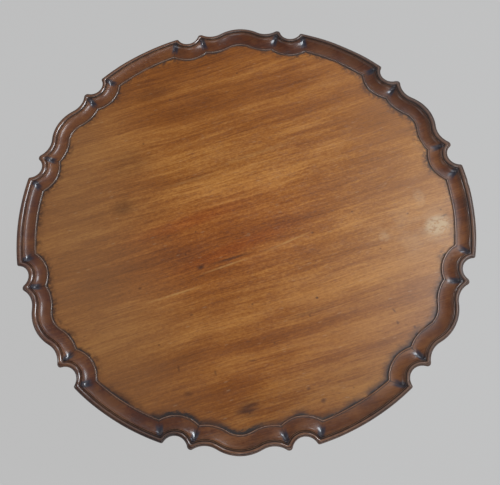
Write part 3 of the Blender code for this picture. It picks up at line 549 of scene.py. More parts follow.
class NodeSheet:
    """The nodes of one material or world."""

    def __init__(self, tree: bpy.types.NodeTree) -> None:
        """Start with an empty sheet."""
        self.tree = tree
        tree.nodes.clear()

    def add(self, kind: str, settings: Optional[dict[str, Any]] = None,
            inputs: Optional[dict[Union[int, str], Any]] = None, output: Union[int, str] = 0) -> Wire:
        """Add any node.

        Args:
            kind: The node's type, without ShaderNode.
            settings: Its properties, set first; "stops" holds a ramp's (position, colour) pairs.
            inputs: Values or wires of its sockets, by name or number.
            output: The socket to hand back.

        Returns:
            The wire from that socket.
        """
        node = self.tree.nodes.new(f"ShaderNode{kind}")
        for name, value in (settings or {}).items():
            if name == "stops":
                self.set_stops(node.color_ramp, value)
            else:
                setattr(node, name, value)
        for key, value in (inputs or {}).items():
            socket = node.inputs[key]
            if isinstance(value, Wire):
                self.tree.links.new(value.socket, socket)
            elif socket.type == "RGBA":
                socket.default_value = (*value[:3], 1.0)
            else:
                socket.default_value = value
        return Wire(self, node.outputs[output] if len(node.outputs) else None)

    @staticmethod
    def set_stops(ramp: bpy.types.ColorRamp, stops: Sequence[tuple[float, Colour]]) -> None:
        """Give a ramp its stops."""
        while len(ramp.elements) < len(stops):
            ramp.elements.new(1.0)
        for element, (position, colour) in zip(ramp.elements, stops):
            element.position = position
            element.color = (*colour, 1.0)

    def place(self) -> Wire:
        """Object coordinates."""
        return self.add("TexCoord", output="Object")

    def parts(self, vector: Wire) -> tuple[Wire, Wire, Wire]:
        """The X, Y and Z of a vector."""
        outputs = self.add("SeparateXYZ", inputs={0: vector}).socket.node.outputs
        return Wire(self, outputs[0]), Wire(self, outputs[1]), Wire(self, outputs[2])

    def vector(self, x: Value, y: Value, z: Value) -> Wire:
        """A vector from its parts."""
        return self.add("CombineXYZ", inputs={0: x, 1: y, 2: z})

    def mark(self, name: str) -> Wire:
        """A number kept on the mesh under a name."""
        return self.add("Attribute", {"attribute_name": name}, output="Fac")

    def stretched(self, vector: Wire, scale: Place, shift: Place = (0, 0, 0), turn: float = 0.0) -> Wire:
        """Scale, shift and turn (about Z) a vector."""
        return self.add("Mapping", {}, {"Vector": vector, "Scale": scale, "Location": shift,
                                                  "Rotation": (0, 0, turn)})

    def noise(self, vector: Wire, scale: Place = (1, 1, 1), detail: float = 2.0, rough: float = 0.5,
              shift: Place = (0, 0, 0)) -> Wire:
        """Cloudy noise from 0 to 1, by its cells per metre, finer layers, their strength and its shift."""
        moved = self.stretched(vector, scale, shift)
        return self.add("TexNoise", {}, {"Vector": moved, "Scale": 1.0, "Detail": detail,
                                                   "Roughness": rough})

    def specks(self, vector: Wire, scale: Place, size: float, chance: float) -> Wire:
        """Scattered soft spots.

        Args:
            vector: Where they are read.
            scale: Cells per metre along X, Y and Z.
            size: A spot's radius in cells.
            chance: Share of cells that hold a spot.

        Returns:
            A mask from 0 to 1.
        """
        moved = self.stretched(vector, scale)
        cells = self.add("TexVoronoi", {"voronoi_dimensions": "3D"},
                         {"Vector": moved, "Scale": 1.0})
        colour = Wire(self, cells.socket.node.outputs["Color"])
        pick = self.parts(colour)[0]
        return self.ease(cells, size, size * 0.35) * self.ease(pick, chance + 0.01, chance)

    def ease(self, value: Value, start: float, end: float, low: float = 0.0, high: float = 1.0) -> Wire:
        """Go smoothly from low to high as a value goes from start to end."""
        return self.add("MapRange", {"interpolation_type": "SMOOTHSTEP"},
                        {0: value, 1: start, 2: end, 3: low, 4: high})

    def hump(self, value: Wire, start: float, top: float, end: float) -> Wire:
        """Rise from start to a top and fall again to the end."""
        return self.ease(value, start, top) * self.ease(value, end, top)

    def lines(self, value: Wire, runs: Sequence[Run]) -> Wire:
        """The largest of several humps, each with its start, top, end and strength."""
        return reduce(or_, [self.hump(value, *run) * strength for *run, strength in runs])

    def spot(self, vector: Wire, centre: Pair, size: Pair, hard: float = 0.3,
             turn: float = 0.0) -> Wire:
        """A soft oval spot in plan.

        Args:
            vector: Where it is read.
            centre: X and Y of its middle.
            size: Half its length along X and Y.
            hard: Where the fall-off starts, from 0 (soft) to 1 (hard).
            turn: Its turn in plan, in degrees.

        Returns:
            A mask from 0 to 1.
        """
        moved = self.add("Mapping", {"vector_type": "TEXTURE"},
                         {"Vector": vector, "Location": (*centre, 0), "Scale": (*size, 1000.0),
                          "Rotation": (0, 0, radians(turn))})
        reach = self.add("VectorMath", {"operation": "LENGTH"}, {0: moved}, output="Value")
        return self.ease(reach, 1.0, hard)

    def spots(self, vector: Wire, marks: Sequence[Mark], hard: float) -> Wire:
        """The largest of several spots, each with its centre, size, turn and strength."""
        return reduce(or_, [self.spot(vector, centre, size, hard, turn) * strength
                            for centre, size, turn, strength in marks])

    def ramp(self, value: Wire, stops: Sequence[tuple[float, Colour]]) -> Wire:
        """Colours by a value."""
        return self.add("ValToRGB", {"stops": stops}, {0: value})

    def tint(self, share: Value, base: Any, other: Any, way: str = "MIX") -> Wire:
        """Mix a colour with a share of another, either of them a wire or not."""
        return self.add("Mix", {"data_type": "RGBA", "blend_type": way, "clamp_factor": True},
                        {0: share, 6: base, 7: other}, output=2)

    def glaze(self, base: Any, *coats: tuple[Any, ...]) -> Any:
        """Lay thin coats over a colour.

        Args:
            base: A colour or its wire.
            coats: The share and colour of each and, where it isn't MIX, how it mixes.

        Returns:
            The colour under all of them.
        """
        for share, *coat in coats:
            base = self.tint(share, base, *coat)
        return base

    def bump(self, height: Wire, distance: float, strength: float = 1.0) -> Wire:
        """A normal from a height from 0 to 1, which stands for a distance in metres."""
        return self.add("Bump", {}, {"Height": height, "Distance": distance, "Strength": strength})


# Finishes


@dataclass(frozen=True)
class Finish:
    """A material with its own name, drawn the first time that it is used, and its slot in the record."""

    name: str
    slot: Slot

    def draw(self, sheet: NodeSheet) -> dict[str, Any]:
        """Draw the nodes.

        Args:
            sheet: The sheet to draw on.

        Returns:
            Values or wires for the shader's sockets.
        """
        raise NotImplementedError

    def material(self) -> bpy.types.Material:
        """The Blender material, made once."""
        found = bpy.data.materials.get(self.name)
        if found:
            return found
        material = bpy.data.materials.new(self.name)
        material.use_nodes = True
        sheet = NodeSheet(material.node_tree)
        shader = sheet.add("BsdfPrincipled", {}, self.draw(sheet))
        sheet.add("OutputMaterial", {}, {"Surface": shader})
        return material


@dataclass(frozen=True)
class Spots:
    """What the board's finish reads at each spot of the surface."""

    place: Wire
    x: Wire
    y: Wire
    z: Wire
    inset: Wire
    mitre: Wire
    cloud: Wire
    ragged: Wire


@dataclass(frozen=True)
class RimMasks:
    """Where the rim is grimy with painted shade along its outer edge, dulled with a painted sheen on its
    right lip, gouged, and given painted light and gloss along its bead.
    """

    grime: Wire
    dulled_and_painted_sheen: Wire
    pocket: Wire
    back: Wire


@dataclass(frozen=True)
class TopMahogany(Finish):
    """Old polished mahogany of the board: sun-faded field with painted light and a painted sheen on its
    right, dark carved rim with painted light, shade and sheen, dry underside.
    """

    name: str = "board_mahogany"
    slot: Slot = Slot.TOP_WOOD
    tones: tuple[tuple[float, Colour], ...] = (
        (0.12, (0.148, 0.04, 0.006)), (0.4, (0.246, 0.074, 0.01)), (0.53, (0.296, 0.095, 0.014)),
        (0.76, (0.416, 0.162, 0.032)), (1.02, (0.52, 0.222, 0.05)))
    heartwood: Colour = (0.98, 0.74, 0.62)
    faded: Colour = (0.268, 0.146, 0.071)
    # painted light on the field's right side
    right_painted_light: Colour = (0.45, 0.264, 0.09)
    near_side_darker: Colour = (0.85, 0.81, 0.76)
    near_edge: Colour = (0.82, 0.83, 0.87)
    pore: Colour = (0.075, 0.026, 0.01)
    fleck: Colour = (0.46, 0.3, 0.17)
    dent: Colour = (0.07, 0.024, 0.01)
    stain: Colour = (0.068, 0.021, 0.008)
    bare: Colour = (0.53, 0.385, 0.225)
    bright: Colour = (0.47, 0.235, 0.072)
    # painted sheen colour of the field's near right
    field_painted_sheen: Colour = (0.47, 0.32, 0.19)
    rim_share: Colour = (0.4, 0.315, 0.5)
    rim_gold: Colour = (0.24, 0.094, 0.028)
    rim_russet: Colour = (0.19, 0.074, 0.026)
    rim_umber: Colour = (0.05, 0.02, 0.015)
    # painted shade of the far-right rim
    rim_painted_shade: Colour = (0.66, 0.66, 0.8)
    # painted light colour of the rim's coves
    rim_light_paint: Colour = (0.205, 0.072, 0.019)
    worn: Colour = (0.3, 0.185, 0.12)
    # dark wax of the mitre hollows, with painted shade and a painted blue reflection
    wax_with_painted_shade: Colour = (0.016, 0.02, 0.036)
    dirt: Colour = (0.01, 0.007, 0.007)
    halo: Colour = (0.052, 0.022, 0.014)
    # painted sheen colour of the right lip
    lip_painted_sheen: Colour = (0.1, 0.074, 0.062)
    near_left_lip_darker: Colour = (0.62, 0.58, 0.58)
    dry: Colour = (0.11, 0.062, 0.034)
    dry_pale: Colour = (0.15, 0.09, 0.052)
    dry_dark: Colour = (0.06, 0.034, 0.02)
    field_start: float = 0.031
    field_rough: float = 0.39
    rim_rough: float = 0.38
    coat_rough: float = 0.1
    coat_ior: float = 1.75
    relief: float = 0.00022
    crest_lines: tuple[Run, ...] = (
        (0.0034, 0.0044, 0.0052, 0.5), (0.007, 0.0074, 0.0078, 1.0), (0.0087, 0.0092, 0.01, 0.7))
    bead_line: tuple[float, float, float] = (0.0285, 0.0296, 0.0305)
    groove_lines: tuple[Run, ...] = (
        (0.001, 0.0022, 0.0034, 0.9), (0.0047, 0.0063, 0.0073, 1.0), (0.0075, 0.0082, 0.009, 1.0),
        (0.0264, 0.0281, 0.0288, 0.75))
    heart_marks: tuple[Mark, ...] = (
        ((-0.085, 0.018), (0.19, 0.026), 2.0, 1.0), ((-0.03, -0.05), (0.2, 0.026), 6.0, 1.0))
    tone_marks: tuple[Mark, ...] = (
        ((0.2, 0.16), (0.16, 0.09), 0.0, -0.07), ((-0.074, -0.226), (0.13, 0.04), 2.0, 0.16),
        ((-0.03, -0.036), (0.095, 0.045), 4.0, 0.1), ((-0.026, -0.308), (0.075, 0.045), 0.0, -0.12))
    dark_marks: tuple[Mark, ...] = (
        ((-0.086, -0.065), (0.01, 0.0056), 8.0, 0.95), ((-0.034, -0.066), (0.054, 0.003), -1.0, 0.75),
        ((-0.184, 0.08), (0.034, 0.021), 0.0, 0.5), ((-0.075, 0.285), (0.055, 0.022), 0.0, 0.3),
        ((-0.15, 0.16), (0.06, 0.042), 0.0, 0.22),
        ((-0.077, -0.299), (0.03, 0.018), 4.0, 0.45), ((-0.0245, -0.15), (0.0026, 0.0022), 0.0, 0.7),
        ((0.18, -0.05), (0.0024, 0.0024), 0.0, 0.7), ((0.2, -0.125), (0.0026, 0.0022), 0.0, 0.7),
        ((-0.191, -0.069), (0.0048, 0.0034), 0.0, 0.6), ((0.06, -0.19), (0.06, 0.005), 2.0, 0.3),
        ((0.076, -0.171), (0.0036, 0.003), 0.0, 0.9), ((0.056, -0.195), (0.003, 0.0026), 0.0, 0.7),
        ((-0.122, -0.137), (0.005, 0.0036), 0.0, 0.5), ((-0.164, -0.213), (0.0028, 0.0075), 0.0, 0.6),
        ((-0.111, -0.236), (0.0028, 0.006), 0.0, 0.7), ((-0.159, -0.254), (0.011, 0.006), -20.0, 0.6),
        ((0.017, -0.3), (0.005, 0.0032), 0.0, 0.6), ((0.032, -0.323), (0.006, 0.006), 0.0, 0.7),
        ((-0.051, -0.235), (0.01, 0.0022), -15.0, 0.6), ((0.18, -0.246), (0.003, 0.005), 0.0, 0.7),
        ((0.318, -0.103), (0.0085, 0.0026), 5.0, 0.85), ((-0.0815, -0.3045), (0.025, 0.005), -7.0, 0.9),
        ((-0.076, -0.2985), (0.021, 0.0046), 4.0, 0.85), ((-0.078, -0.3125), (0.02, 0.0034), -6.0, 0.4),
        ((0.182, -0.2265), (0.0026, 0.006), 20.0, 0.65), ((0.202, -0.26), (0.0032, 0.004), 0.0, 0.75),
        ((-0.01, -0.219), (0.0032, 0.0026), 0.0, 0.65), ((0.01, -0.2185), (0.0028, 0.0024), 0.0, 0.55),
        ((-0.121, 0.189), (0.003, 0.0026), 0.0, 0.6))
    pale_marks: tuple[Mark, ...] = (
        ((0.301, -0.115), (0.026, 0.02), 10.0, 0.66), ((0.213, -0.108), (0.011, 0.011), 0.0, 0.22),
        ((0.299, -0.12), (0.036, 0.026), 20.0, 0.22), ((0.005, -0.035), (0.0046, 0.004), 0.0, 0.14),
        ((0.293, -0.06), (0.012, 0.02), 0.0, 0.16))
    gold_marks: tuple[Mark, ...] = (
        ((-0.048, -0.0755), (0.058, 0.0024), 2.2, 0.75), ((0.064, -0.067), (0.06, 0.0024), 6.4, 0.75),
        ((-0.14, -0.0963), (0.068, 0.0024), 0.3, 0.8), ((0.06, 0.105), (0.1, 0.006), 2.0, 0.3),
        ((-0.06, 0.092), (0.07, 0.005), 0.0, 0.3))
    wiped_marks: tuple[Mark, ...] = (
        ((-0.1447, -0.3073), (0.03, 0.03), 0.0, 0.75), ((-0.053, -0.336), (0.03, 0.026), 0.0, 0.75))
    black_marks: tuple[Mark, ...] = (
        ((-0.1, -0.333), (0.05, 0.05), 0.0, 1.0), ((-0.182, -0.283), (0.055, 0.045), 0.0, 1.0))

    def read(self, sheet: NodeSheet) -> Spots:
        """Read off the surface what the finish goes by.

        Args:
            sheet: The sheet to draw on.

        Returns:
            The readings.
        """
        place = sheet.place()
        cloud = sheet.noise(place, (26.0, 26.0, 26.0), 3.0, 0.6)
        ragged = sheet.noise(place, (150.0, 150.0, 150.0), 3.0, 0.6)
        return Spots(place, *sheet.parts(place), sheet.mark("inset"), sheet.mark("mitre"), cloud, ragged)

    def figure(self, sheet: NodeSheet, grain: Wire) -> tuple[Wire, Wire, Wire]:
        """The board's figure, liveliest in the middle.

        Args:
            sheet: The sheet to draw on.
            grain: Coordinates with the grain along X.

        Returns:
            Its tone from 0 to 1, its fibres and its pores.
        """
        broad = sheet.noise(grain, (0.9, 8.5, 1.0), 3.0, 0.55, (0.31, 0.0, 0.0))
        streak = sheet.noise(grain, (0.8, 22.0, 1.0), 5.0, 0.7, (0.0, 0.37, 0.0))
        fibre = sheet.noise(grain, (16.0, 520.0, 1.0), 2.0, 0.55)
        thread = sheet.noise(grain, (7.0, 140.0, 1.0), 3.0, 0.72, (0.2, 0.0, 0.0))
        mottle = sheet.noise(grain, (5.0, 12.0, 1.0), 3.0, 0.6)
        grit = sheet.noise(grain, (190.0, 360.0, 1.0), 2.0, 0.7)
        pores = sheet.ease(sheet.noise(grain, (70.0, 1300.0, 1.0), 1.0), 0.6, 0.72)
        lively = 0.55 + sheet.spot(grain, (0.03, 0.0), (0.36, 0.26), 0.3) * 0.28
        tone = 0.5 + (broad - 0.5) * 0.6 + (streak - 0.5) * 1.1 + (fibre - 0.5) * 0.65
        tone = tone + (mottle - 0.5) * 0.75 + ((grit - 0.5) * 0.95 + (thread - 0.5) * 0.9) * lively
        return tone, fibre, pores

    def bands(self, sheet: NodeSheet, at: Spots, tone: Wire) -> tuple[Wire, Wire]:
        """The board's broad growth bands.

        Args:
            sheet: The sheet to draw on.
            at: What is read off the surface.
            tone: The figure's tone.

        Returns:
            The tone with the bands in it, and the share of red heartwood.
        """
        hearts = sheet.spots(at.place, self.heart_marks, 0.0)
        heart = sheet.spot(at.place, (-0.06, -0.02), (0.3, 0.12), 0.1, 2.0) * 0.45 | hearts
        golden = sheet.spot(at.place, (0.03, 0.088), (0.36, 0.034), 0.1, 1.0)
        tone = tone - hearts * 0.09 + golden * 0.1 + sheet.hump(at.y, -0.215, -0.15, -0.105) * 0.05
        for centre, size, turn, strength in self.tone_marks:
            tone = tone + sheet.spot(at.place, centre, size, 0.0, turn) * strength
        return tone, heart

    def blemishes(self, sheet: NodeSheet, place: Wire, colour: Wire) -> Wire:
        """Stains, knots and wear of the field, each in its own place, and a painted sheen on its near right.

        Args:
            sheet: The sheet to draw on.
            place: Object coordinates.
            colour: The wood's colour.

        Returns:
            The colour with the marks on it.
        """
        ragged = sheet.noise(place, (52.0, 130.0, 1.0), 3.0, 0.65)
        mottled = sheet.noise(place, (150.0, 210.0, 1.0), 2.0, 0.7)
        cloud = sheet.noise(place, (18.0, 30.0, 1.0), 3.0, 0.6)
        kinds = ((self.dark_marks, 0.1, sheet.ease(ragged, 0.25, 0.55, 0.45), self.stain),
                 (self.pale_marks, 0.45, sheet.ease(mottled, 0.36, 0.54, 0.3), self.bare),
                 (self.gold_marks, 0.1, sheet.ease(ragged, 0.25, 0.6, 0.4), self.bright))
        for marks, hard, broken, other in kinds:
            for centre, size, turn, strength in marks:
                mask = sheet.spot(place, centre, size, hard, turn) * broken * strength
                colour = sheet.tint(mask, colour, other)
        # painted sheen: a lighter, greyer patch on the field's near right stands in for the window's
        # reflection
        field_painted_sheen = sheet.spot(place, (0.27, -0.11), (0.11, 0.075), 0.0) * sheet.ease(cloud, 0.4, 0.65)
        return sheet.tint(field_painted_sheen * 0.22, colour, self.field_painted_sheen)

    def rim_masks(self, sheet: NodeSheet, at: Spots) -> RimMasks:
        """Find the rim's wear, and where it gets painted light, shade and sheen.

        Args:
            sheet: The sheet to draw on.
            at: What is read off the surface.

        Returns:
            The masks, each from 0 to 1.
        """
        grooves = sheet.lines(at.inset, self.groove_lines) * sheet.ease(at.x, -0.2, -0.32, 0.94, 0.45)
        cove = sheet.ease(at.inset, 0.006, 0.0085) * sheet.ease(at.inset, 0.0265, 0.016)
        return RimMasks(
            # grime: dirt in the grooves, and painted shade darkening the outer edge
            grime=grooves | sheet.ease(at.inset, 0.0024, 0.0008) * 0.55,
            # the right lip is dulled, and its colour greyed as a painted sheen for hazy reflections
            dulled_and_painted_sheen=sheet.ease(at.inset, 0.0064, 0.0036) * sheet.ease(at.x, 0.02, 0.2),
            pocket=sheet.ease(at.mitre, 0.1, 0.65) * cove,
            # back: more gloss, and painted light, along the bead towards the far side
            back=sheet.ease(at.y, -0.22, 0.08, 0.6, 1.0))

    def rim_wood(self, sheet: NodeSheet, at: Spots, masks: RimMasks, wood: Wire, tone: Wire) -> Wire:
        """Colour the carved rim.

        Args:
            sheet: The sheet to draw on.
            at: What is read off the surface.
            masks: The rim's wear.
            wood: The board's colour.
            tone: The figure's tone.

        Returns:
            The rim's colour.
        """
        # painted shade: the rim is darkened and cooled on the far right, where its coves face away from the
        # window
        shaded = sheet.ease(at.x, 0.05, 0.22) * sheet.ease(at.y, 0.0, 0.12)
        # painted light: the rim's coves are lightened and warmed on the far left and, more weakly, along the
        # near side
        rim_painted_light = sheet.ease(at.x, 0.1, -0.06) * sheet.ease(at.y, 0.12, 0.28)
        rim_painted_light = rim_painted_light | sheet.ease(at.y, -0.2, -0.32) * sheet.ease(at.x, -0.16, 0.02) * 0.45
        # The crests are worn lighter; how strongly by side, more to the left and to the far side, is painted
        # light.
        crest = sheet.lines(at.inset, self.crest_lines) | sheet.hump(at.inset, *self.bead_line) * masks.back
        wear_and_painted_light = sheet.ease(at.ragged, 0.3, 0.6, 0.15) * sheet.ease(at.x, 0.26, 0.0, 0.3, 0.75)
        patchy = sheet.ease(at.ragged, 0.3, 0.6, 0.3) * sheet.ease(at.inset, 0.004, 0.007)
        seam = sheet.ease(at.mitre, 0.92, 0.99) * patchy * sheet.ease(at.cloud, 0.34, 0.56)
        near_left = sheet.ease(at.x, -0.11, -0.18) * sheet.ease(at.y, -0.14, -0.22)
        return sheet.glaze(
            wood,
            (1.0, self.rim_share, "MULTIPLY"),
            (sheet.ease(tone, 0.5, 0.9) * 0.45, self.rim_gold),
            (sheet.ease(at.cloud, 0.42, 0.64) * 0.5, self.rim_russet),
            (sheet.ease(at.cloud, 0.5, 0.3) * 0.4, self.rim_umber),
            (shaded * 0.85, self.rim_painted_shade, "MULTIPLY"),
            (rim_painted_light * sheet.ease(at.ragged, 0.25, 0.6, 0.4) * 0.5, self.rim_light_paint),
            # real crest wear, with painted light in its strength by side
            (crest * wear_and_painted_light, self.worn),
            # near-black blue in the mitre hollows: dark wax, with painted shade and a painted blue reflection
            (masks.pocket * sheet.ease(at.ragged, 0.25, 0.5, 0.6) * 0.92, self.wax_with_painted_shade),
            (seam * 0.65, self.dirt),
            # dirt in the grooves, and painted shade on the outer edge
            (masks.grime, self.dirt),
            # painted sheen: greyer right lip
            (masks.dulled_and_painted_sheen * 0.55, self.lip_painted_sheen),
            # the lip is darker on the near left
            (sheet.ease(at.inset, 0.0064, 0.0046) * near_left, self.near_left_lip_darker, "MULTIPLY"))

    def edge_dirt(self, sheet: NodeSheet, at: Spots) -> tuple[Wire, Wire]:
        """Dirt where the field meets the rim.

        Args:
            sheet: The sheet to draw on.
            at: What is read off the surface.

        Returns:
            The black line along the bead, and the brown halo on the field.
        """
        ticks = sheet.noise(at.place, (130.0, 420.0, 340.0), 2.0, 0.6)
        frayed = at.inset + (at.ragged - 0.5) * 0.009 + (ticks - 0.5) * 0.01
        line = sheet.hump(at.inset, 0.0296, 0.031, 0.035) * sheet.ease(frayed, 0.035, 0.0325)
        line = line * sheet.ease(at.cloud, 0.3, 0.52, 0.45)
        line = line * (1.0 - sheet.spots(at.place, self.wiped_marks, 0.3))
        black = sheet.spots(at.place, self.black_marks, 0.3) * sheet.ease(frayed, 0.0366, 0.0334)
        line = line | black * sheet.ease(at.inset, 0.029, 0.031)
        halo = sheet.ease(at.inset, 0.046, 0.0312) * sheet.ease(at.ragged, 0.36, 0.6)
        halo = halo * sheet.ease(at.cloud, 0.36, 0.58)
        near = sheet.ease(at.inset, 0.043, 0.0315) * sheet.ease(at.y, -0.12, -0.26)
        soot = sheet.spot(at.place, (-0.115, -0.325), (0.14, 0.075), 0.2)
        soot = soot * sheet.ease(at.ragged, 0.25, 0.55, 0.5)
        halo = halo | near * sheet.ease(at.cloud, 0.3, 0.55) | soot * sheet.ease(at.inset, 0.042, 0.032)
        return line, halo

    def draw(self, sheet: NodeSheet) -> dict[str, Any]:
        """Draw the board's nodes.

        Args:
            sheet: The sheet to draw on.

        Returns:
            Values or wires for the shader's sockets.
        """
        at = self.read(sheet)
        wander = sheet.noise(at.place, (2.2, 5.0, 1.0), 2.0)
        ripple = sheet.noise(at.place, (10.0, 22.0, 1.0), 2.0)
        grain = sheet.vector(at.x, at.y + (wander - 0.5) * 0.022 + (ripple - 0.5) * 0.007, at.z)
        tone, fibre, pores = self.figure(sheet, grain)
        tone, heart = self.bands(sheet, at, tone)
        dents = sheet.specks(at.place, (38.0, 52.0, 1.0), 0.11, 0.08)
        wood = sheet.glaze(
            sheet.ramp(tone, self.tones),
            (heart * 0.95, self.heartwood, "MULTIPLY"),
            (sheet.ease(at.x, -0.06, -0.28) * 0.42, self.faded),
            # painted light: lighter and more golden towards the right, the window's side
            (sheet.ease(at.x - at.y * 0.4, 0.04, 0.38) * 0.18, self.right_painted_light),
            # the field is darker towards the near side
            (sheet.ease(at.y, -0.06, -0.24), self.near_side_darker, "MULTIPLY"),
            (sheet.ease(at.y, -0.24, -0.33), self.near_edge, "MULTIPLY"),
            (pores * 0.3, self.pore),
            (sheet.specks(grain, (60.0, 260.0, 1.0), 0.3, 0.05) * 0.28, self.fleck),
            (dents * 0.6, self.dent))
        rim = sheet.ease(at.inset, self.field_start + 0.0004, self.field_start - 0.0006)
        under = sheet.ease(at.z, 0.7035, 0.699)
        masks = self.rim_masks(sheet, at)
        line, halo = self.edge_dirt(sheet, at)
        dry = sheet.glaze(
            self.dry,
            (sheet.ease(at.cloud, 0.3, 0.7), self.dry_pale),
            (fibre * 0.6, self.dry_dark))
        colour = sheet.glaze(
            self.blemishes(sheet, at.place, wood),
            (halo * 0.92, self.halo),
            (rim, self.rim_wood(sheet, at, masks, wood, tone)),
            (line * 0.88, self.dirt),
            (under * sheet.ease(at.z, 0.7035, 0.6905), dry))
        scuff = sheet.noise(at.place, (14.0, 40.0, 1.0), 4.0, 0.65)
        rough = self.field_rough + (scuff - 0.5) * 0.22 - rim * (self.field_rough - self.rim_rough)
        rough = rough + masks.grime * 0.3 + masks.dulled_and_painted_sheen * 0.4 + line * 0.25 + under * 0.25
        gloss = sheet.ease(at.inset, 0.011, 0.0088, 0.16, 1.0)
        gloss = gloss | sheet.ease(at.inset, 0.027, 0.0284) * masks.back
        gloss = gloss | masks.pocket * sheet.ease(at.x, -0.16, 0.02, 0.85, 0.48)
        tool = sheet.noise(at.place, (90.0, 90.0, 90.0), 2.0)
        height = fibre * 0.3 - pores * 0.5 - dents * 0.8 + tool * rim * 0.8
        return {
            "Base Color": colour,
            "Roughness": rough,
            "Coat Weight": rim * (1.0 - masks.grime) * (1.0 - masks.dulled_and_painted_sheen * 0.8) * gloss,
            "Coat Roughness": self.coat_rough,
            "Coat IOR": self.coat_ior,
            "Normal": sheet.bump(height, self.relief, 0.7),
        }


@dataclass(frozen=True)
class FrameMahogany(Finish):
    """Darker mahogany of the cage, pillar and legs, with the grain along each piece."""

    name: str = "frame_mahogany"
    slot: Slot = Slot.BASE_WOOD
    grain: Grain = Grain.ALONG_X
    heading: float = 0.0
    shade: Colour = (0.03, 0.01, 0.005)
    middle: Colour = (0.086, 0.027, 0.011)
    light: Colour = (0.17, 0.064, 0.026)
    pore: Colour = (0.018, 0.007, 0.004)
    worn: Colour = (0.21, 0.088, 0.04)
    dirt: Colour = (0.014, 0.008, 0.006)
    polish: float = 0.45
    rough: float = 0.3
    coat_rough: float = 0.14
    relief: float = 0.00022

    def along(self, sheet: NodeSheet, place: Wire) -> Wire:
        """Coordinates with the grain along X."""
        x, y, z = sheet.parts(place)
        if self.grain is Grain.ALONG_X:
            return place
        if self.grain is Grain.ALONG_Y:
            return sheet.vector(y, x, z)
        if self.grain is Grain.UPRIGHT:
            return sheet.vector(z, x, y)
        return sheet.stretched(place, (1, 1, 1), turn=-self.heading)

    def draw(self, sheet: NodeSheet) -> dict[str, Any]:
        """Draw the frame's nodes.

        Args:
            sheet: The sheet to draw on.

        Returns:
            Values or wires for the shader's sockets.
        """
        place = sheet.place()
        hollow = sheet.mark("hollow")
        grain = self.along(sheet, place)
        wander = sheet.noise(place, (6.0, 6.0, 6.0), 2.0)
        x, y, z = sheet.parts(grain)
        grain = sheet.vector(x, y + (wander - 0.5) * 0.02, z + (wander - 0.5) * 0.02)
        broad = sheet.noise(grain, (2.5, 26.0, 26.0), 3.0, 0.55)
        streak = sheet.noise(grain, (7.0, 150.0, 150.0), 3.0, 0.6)
        fibre = sheet.noise(grain, (40.0, 700.0, 700.0), 2.0)
        pores = sheet.ease(sheet.noise(grain, (90.0, 1500.0, 1500.0), 1.0), 0.6, 0.72)
        tone = 0.5 + (broad - 0.5) * 1.0 + (streak - 0.5) * 0.6 + (fibre - 0.5) * 0.3
        cloud = sheet.noise(place, (20.0, 20.0, 20.0), 4.0, 0.6)
        proud = sheet.ease(hollow, -0.1, -0.55) * sheet.ease(cloud, 0.35, 0.65)
        grime = sheet.ease(hollow, 0.08, 0.6) * sheet.ease(cloud, 0.25, 0.6, 0.4)
        colour = sheet.glaze(
            sheet.ramp(tone, ((0.15, self.shade), (0.5, self.middle), (0.85, self.light))),
            (pores * 0.5, self.pore),
            (proud * 0.35, self.worn),
            (grime * 0.75, self.dirt))
        scuff = sheet.noise(place, (55.0, 55.0, 55.0), 3.0, 0.6)
        rough = self.rough + (scuff - 0.5) * 0.28 + grime * 0.3
        height = fibre * 0.35 - pores * 0.5 + scuff * 0.5
        return {
            "Base Color": colour,
            "Roughness": rough,
            "Coat Weight": self.polish * (1.0 - grime),
            "Coat Roughness": self.coat_rough,
            "Normal": sheet.bump(height, self.relief, 0.6),
        }


@dataclass(frozen=True)
class Metal(Finish):
    """Old metal: its own colour, tarnish in clouds, rubbed patches, scratches and pits."""

    name: str = "aged_brass"
    slot: Slot = Slot.BRASS
    bright: Colour = (0.62, 0.42, 0.17)
    dull: Colour = (0.2, 0.125, 0.05)
    spot: Colour = (0.05, 0.04, 0.022)
    rough: float = 0.34
    clean: float = 0.55
    pitted: float = 0.5
    relief: float = 0.00012

    def draw(self, sheet: NodeSheet) -> dict[str, Any]:
        """Draw the metal's nodes.

        Args:
            sheet: The sheet to draw on.

        Returns:
            Values or wires for the shader's sockets.
        """
        place = sheet.place()
        cloud = sheet.noise(place, (70.0, 70.0, 70.0), 4.0, 0.6)
        fine = sheet.noise(place, (420.0, 420.0, 420.0), 3.0, 0.6)
        lines = sheet.noise(place, (900.0, 60.0, 900.0), 2.0)
        tarnish = sheet.ease(cloud + (fine - 0.5) * 0.5, self.clean + 0.14, self.clean - 0.14)
        pits = sheet.ease(fine, 0.62, 0.74)
        colour = sheet.glaze(self.bright, (tarnish, self.dull), (pits * self.pitted, self.spot))
        rough = self.rough + tarnish * 0.18 + pits * 0.2 + (lines - 0.5) * 0.16
        height = lines * 0.3 - pits * self.pitted + cloud * 0.4
        return {
            "Base Color": colour,
            "Metallic": 1.0 - pits * self.pitted * 0.6,
            "Roughness": rough,
            "Normal": sheet.bump(height, self.relief, 0.6),
        }


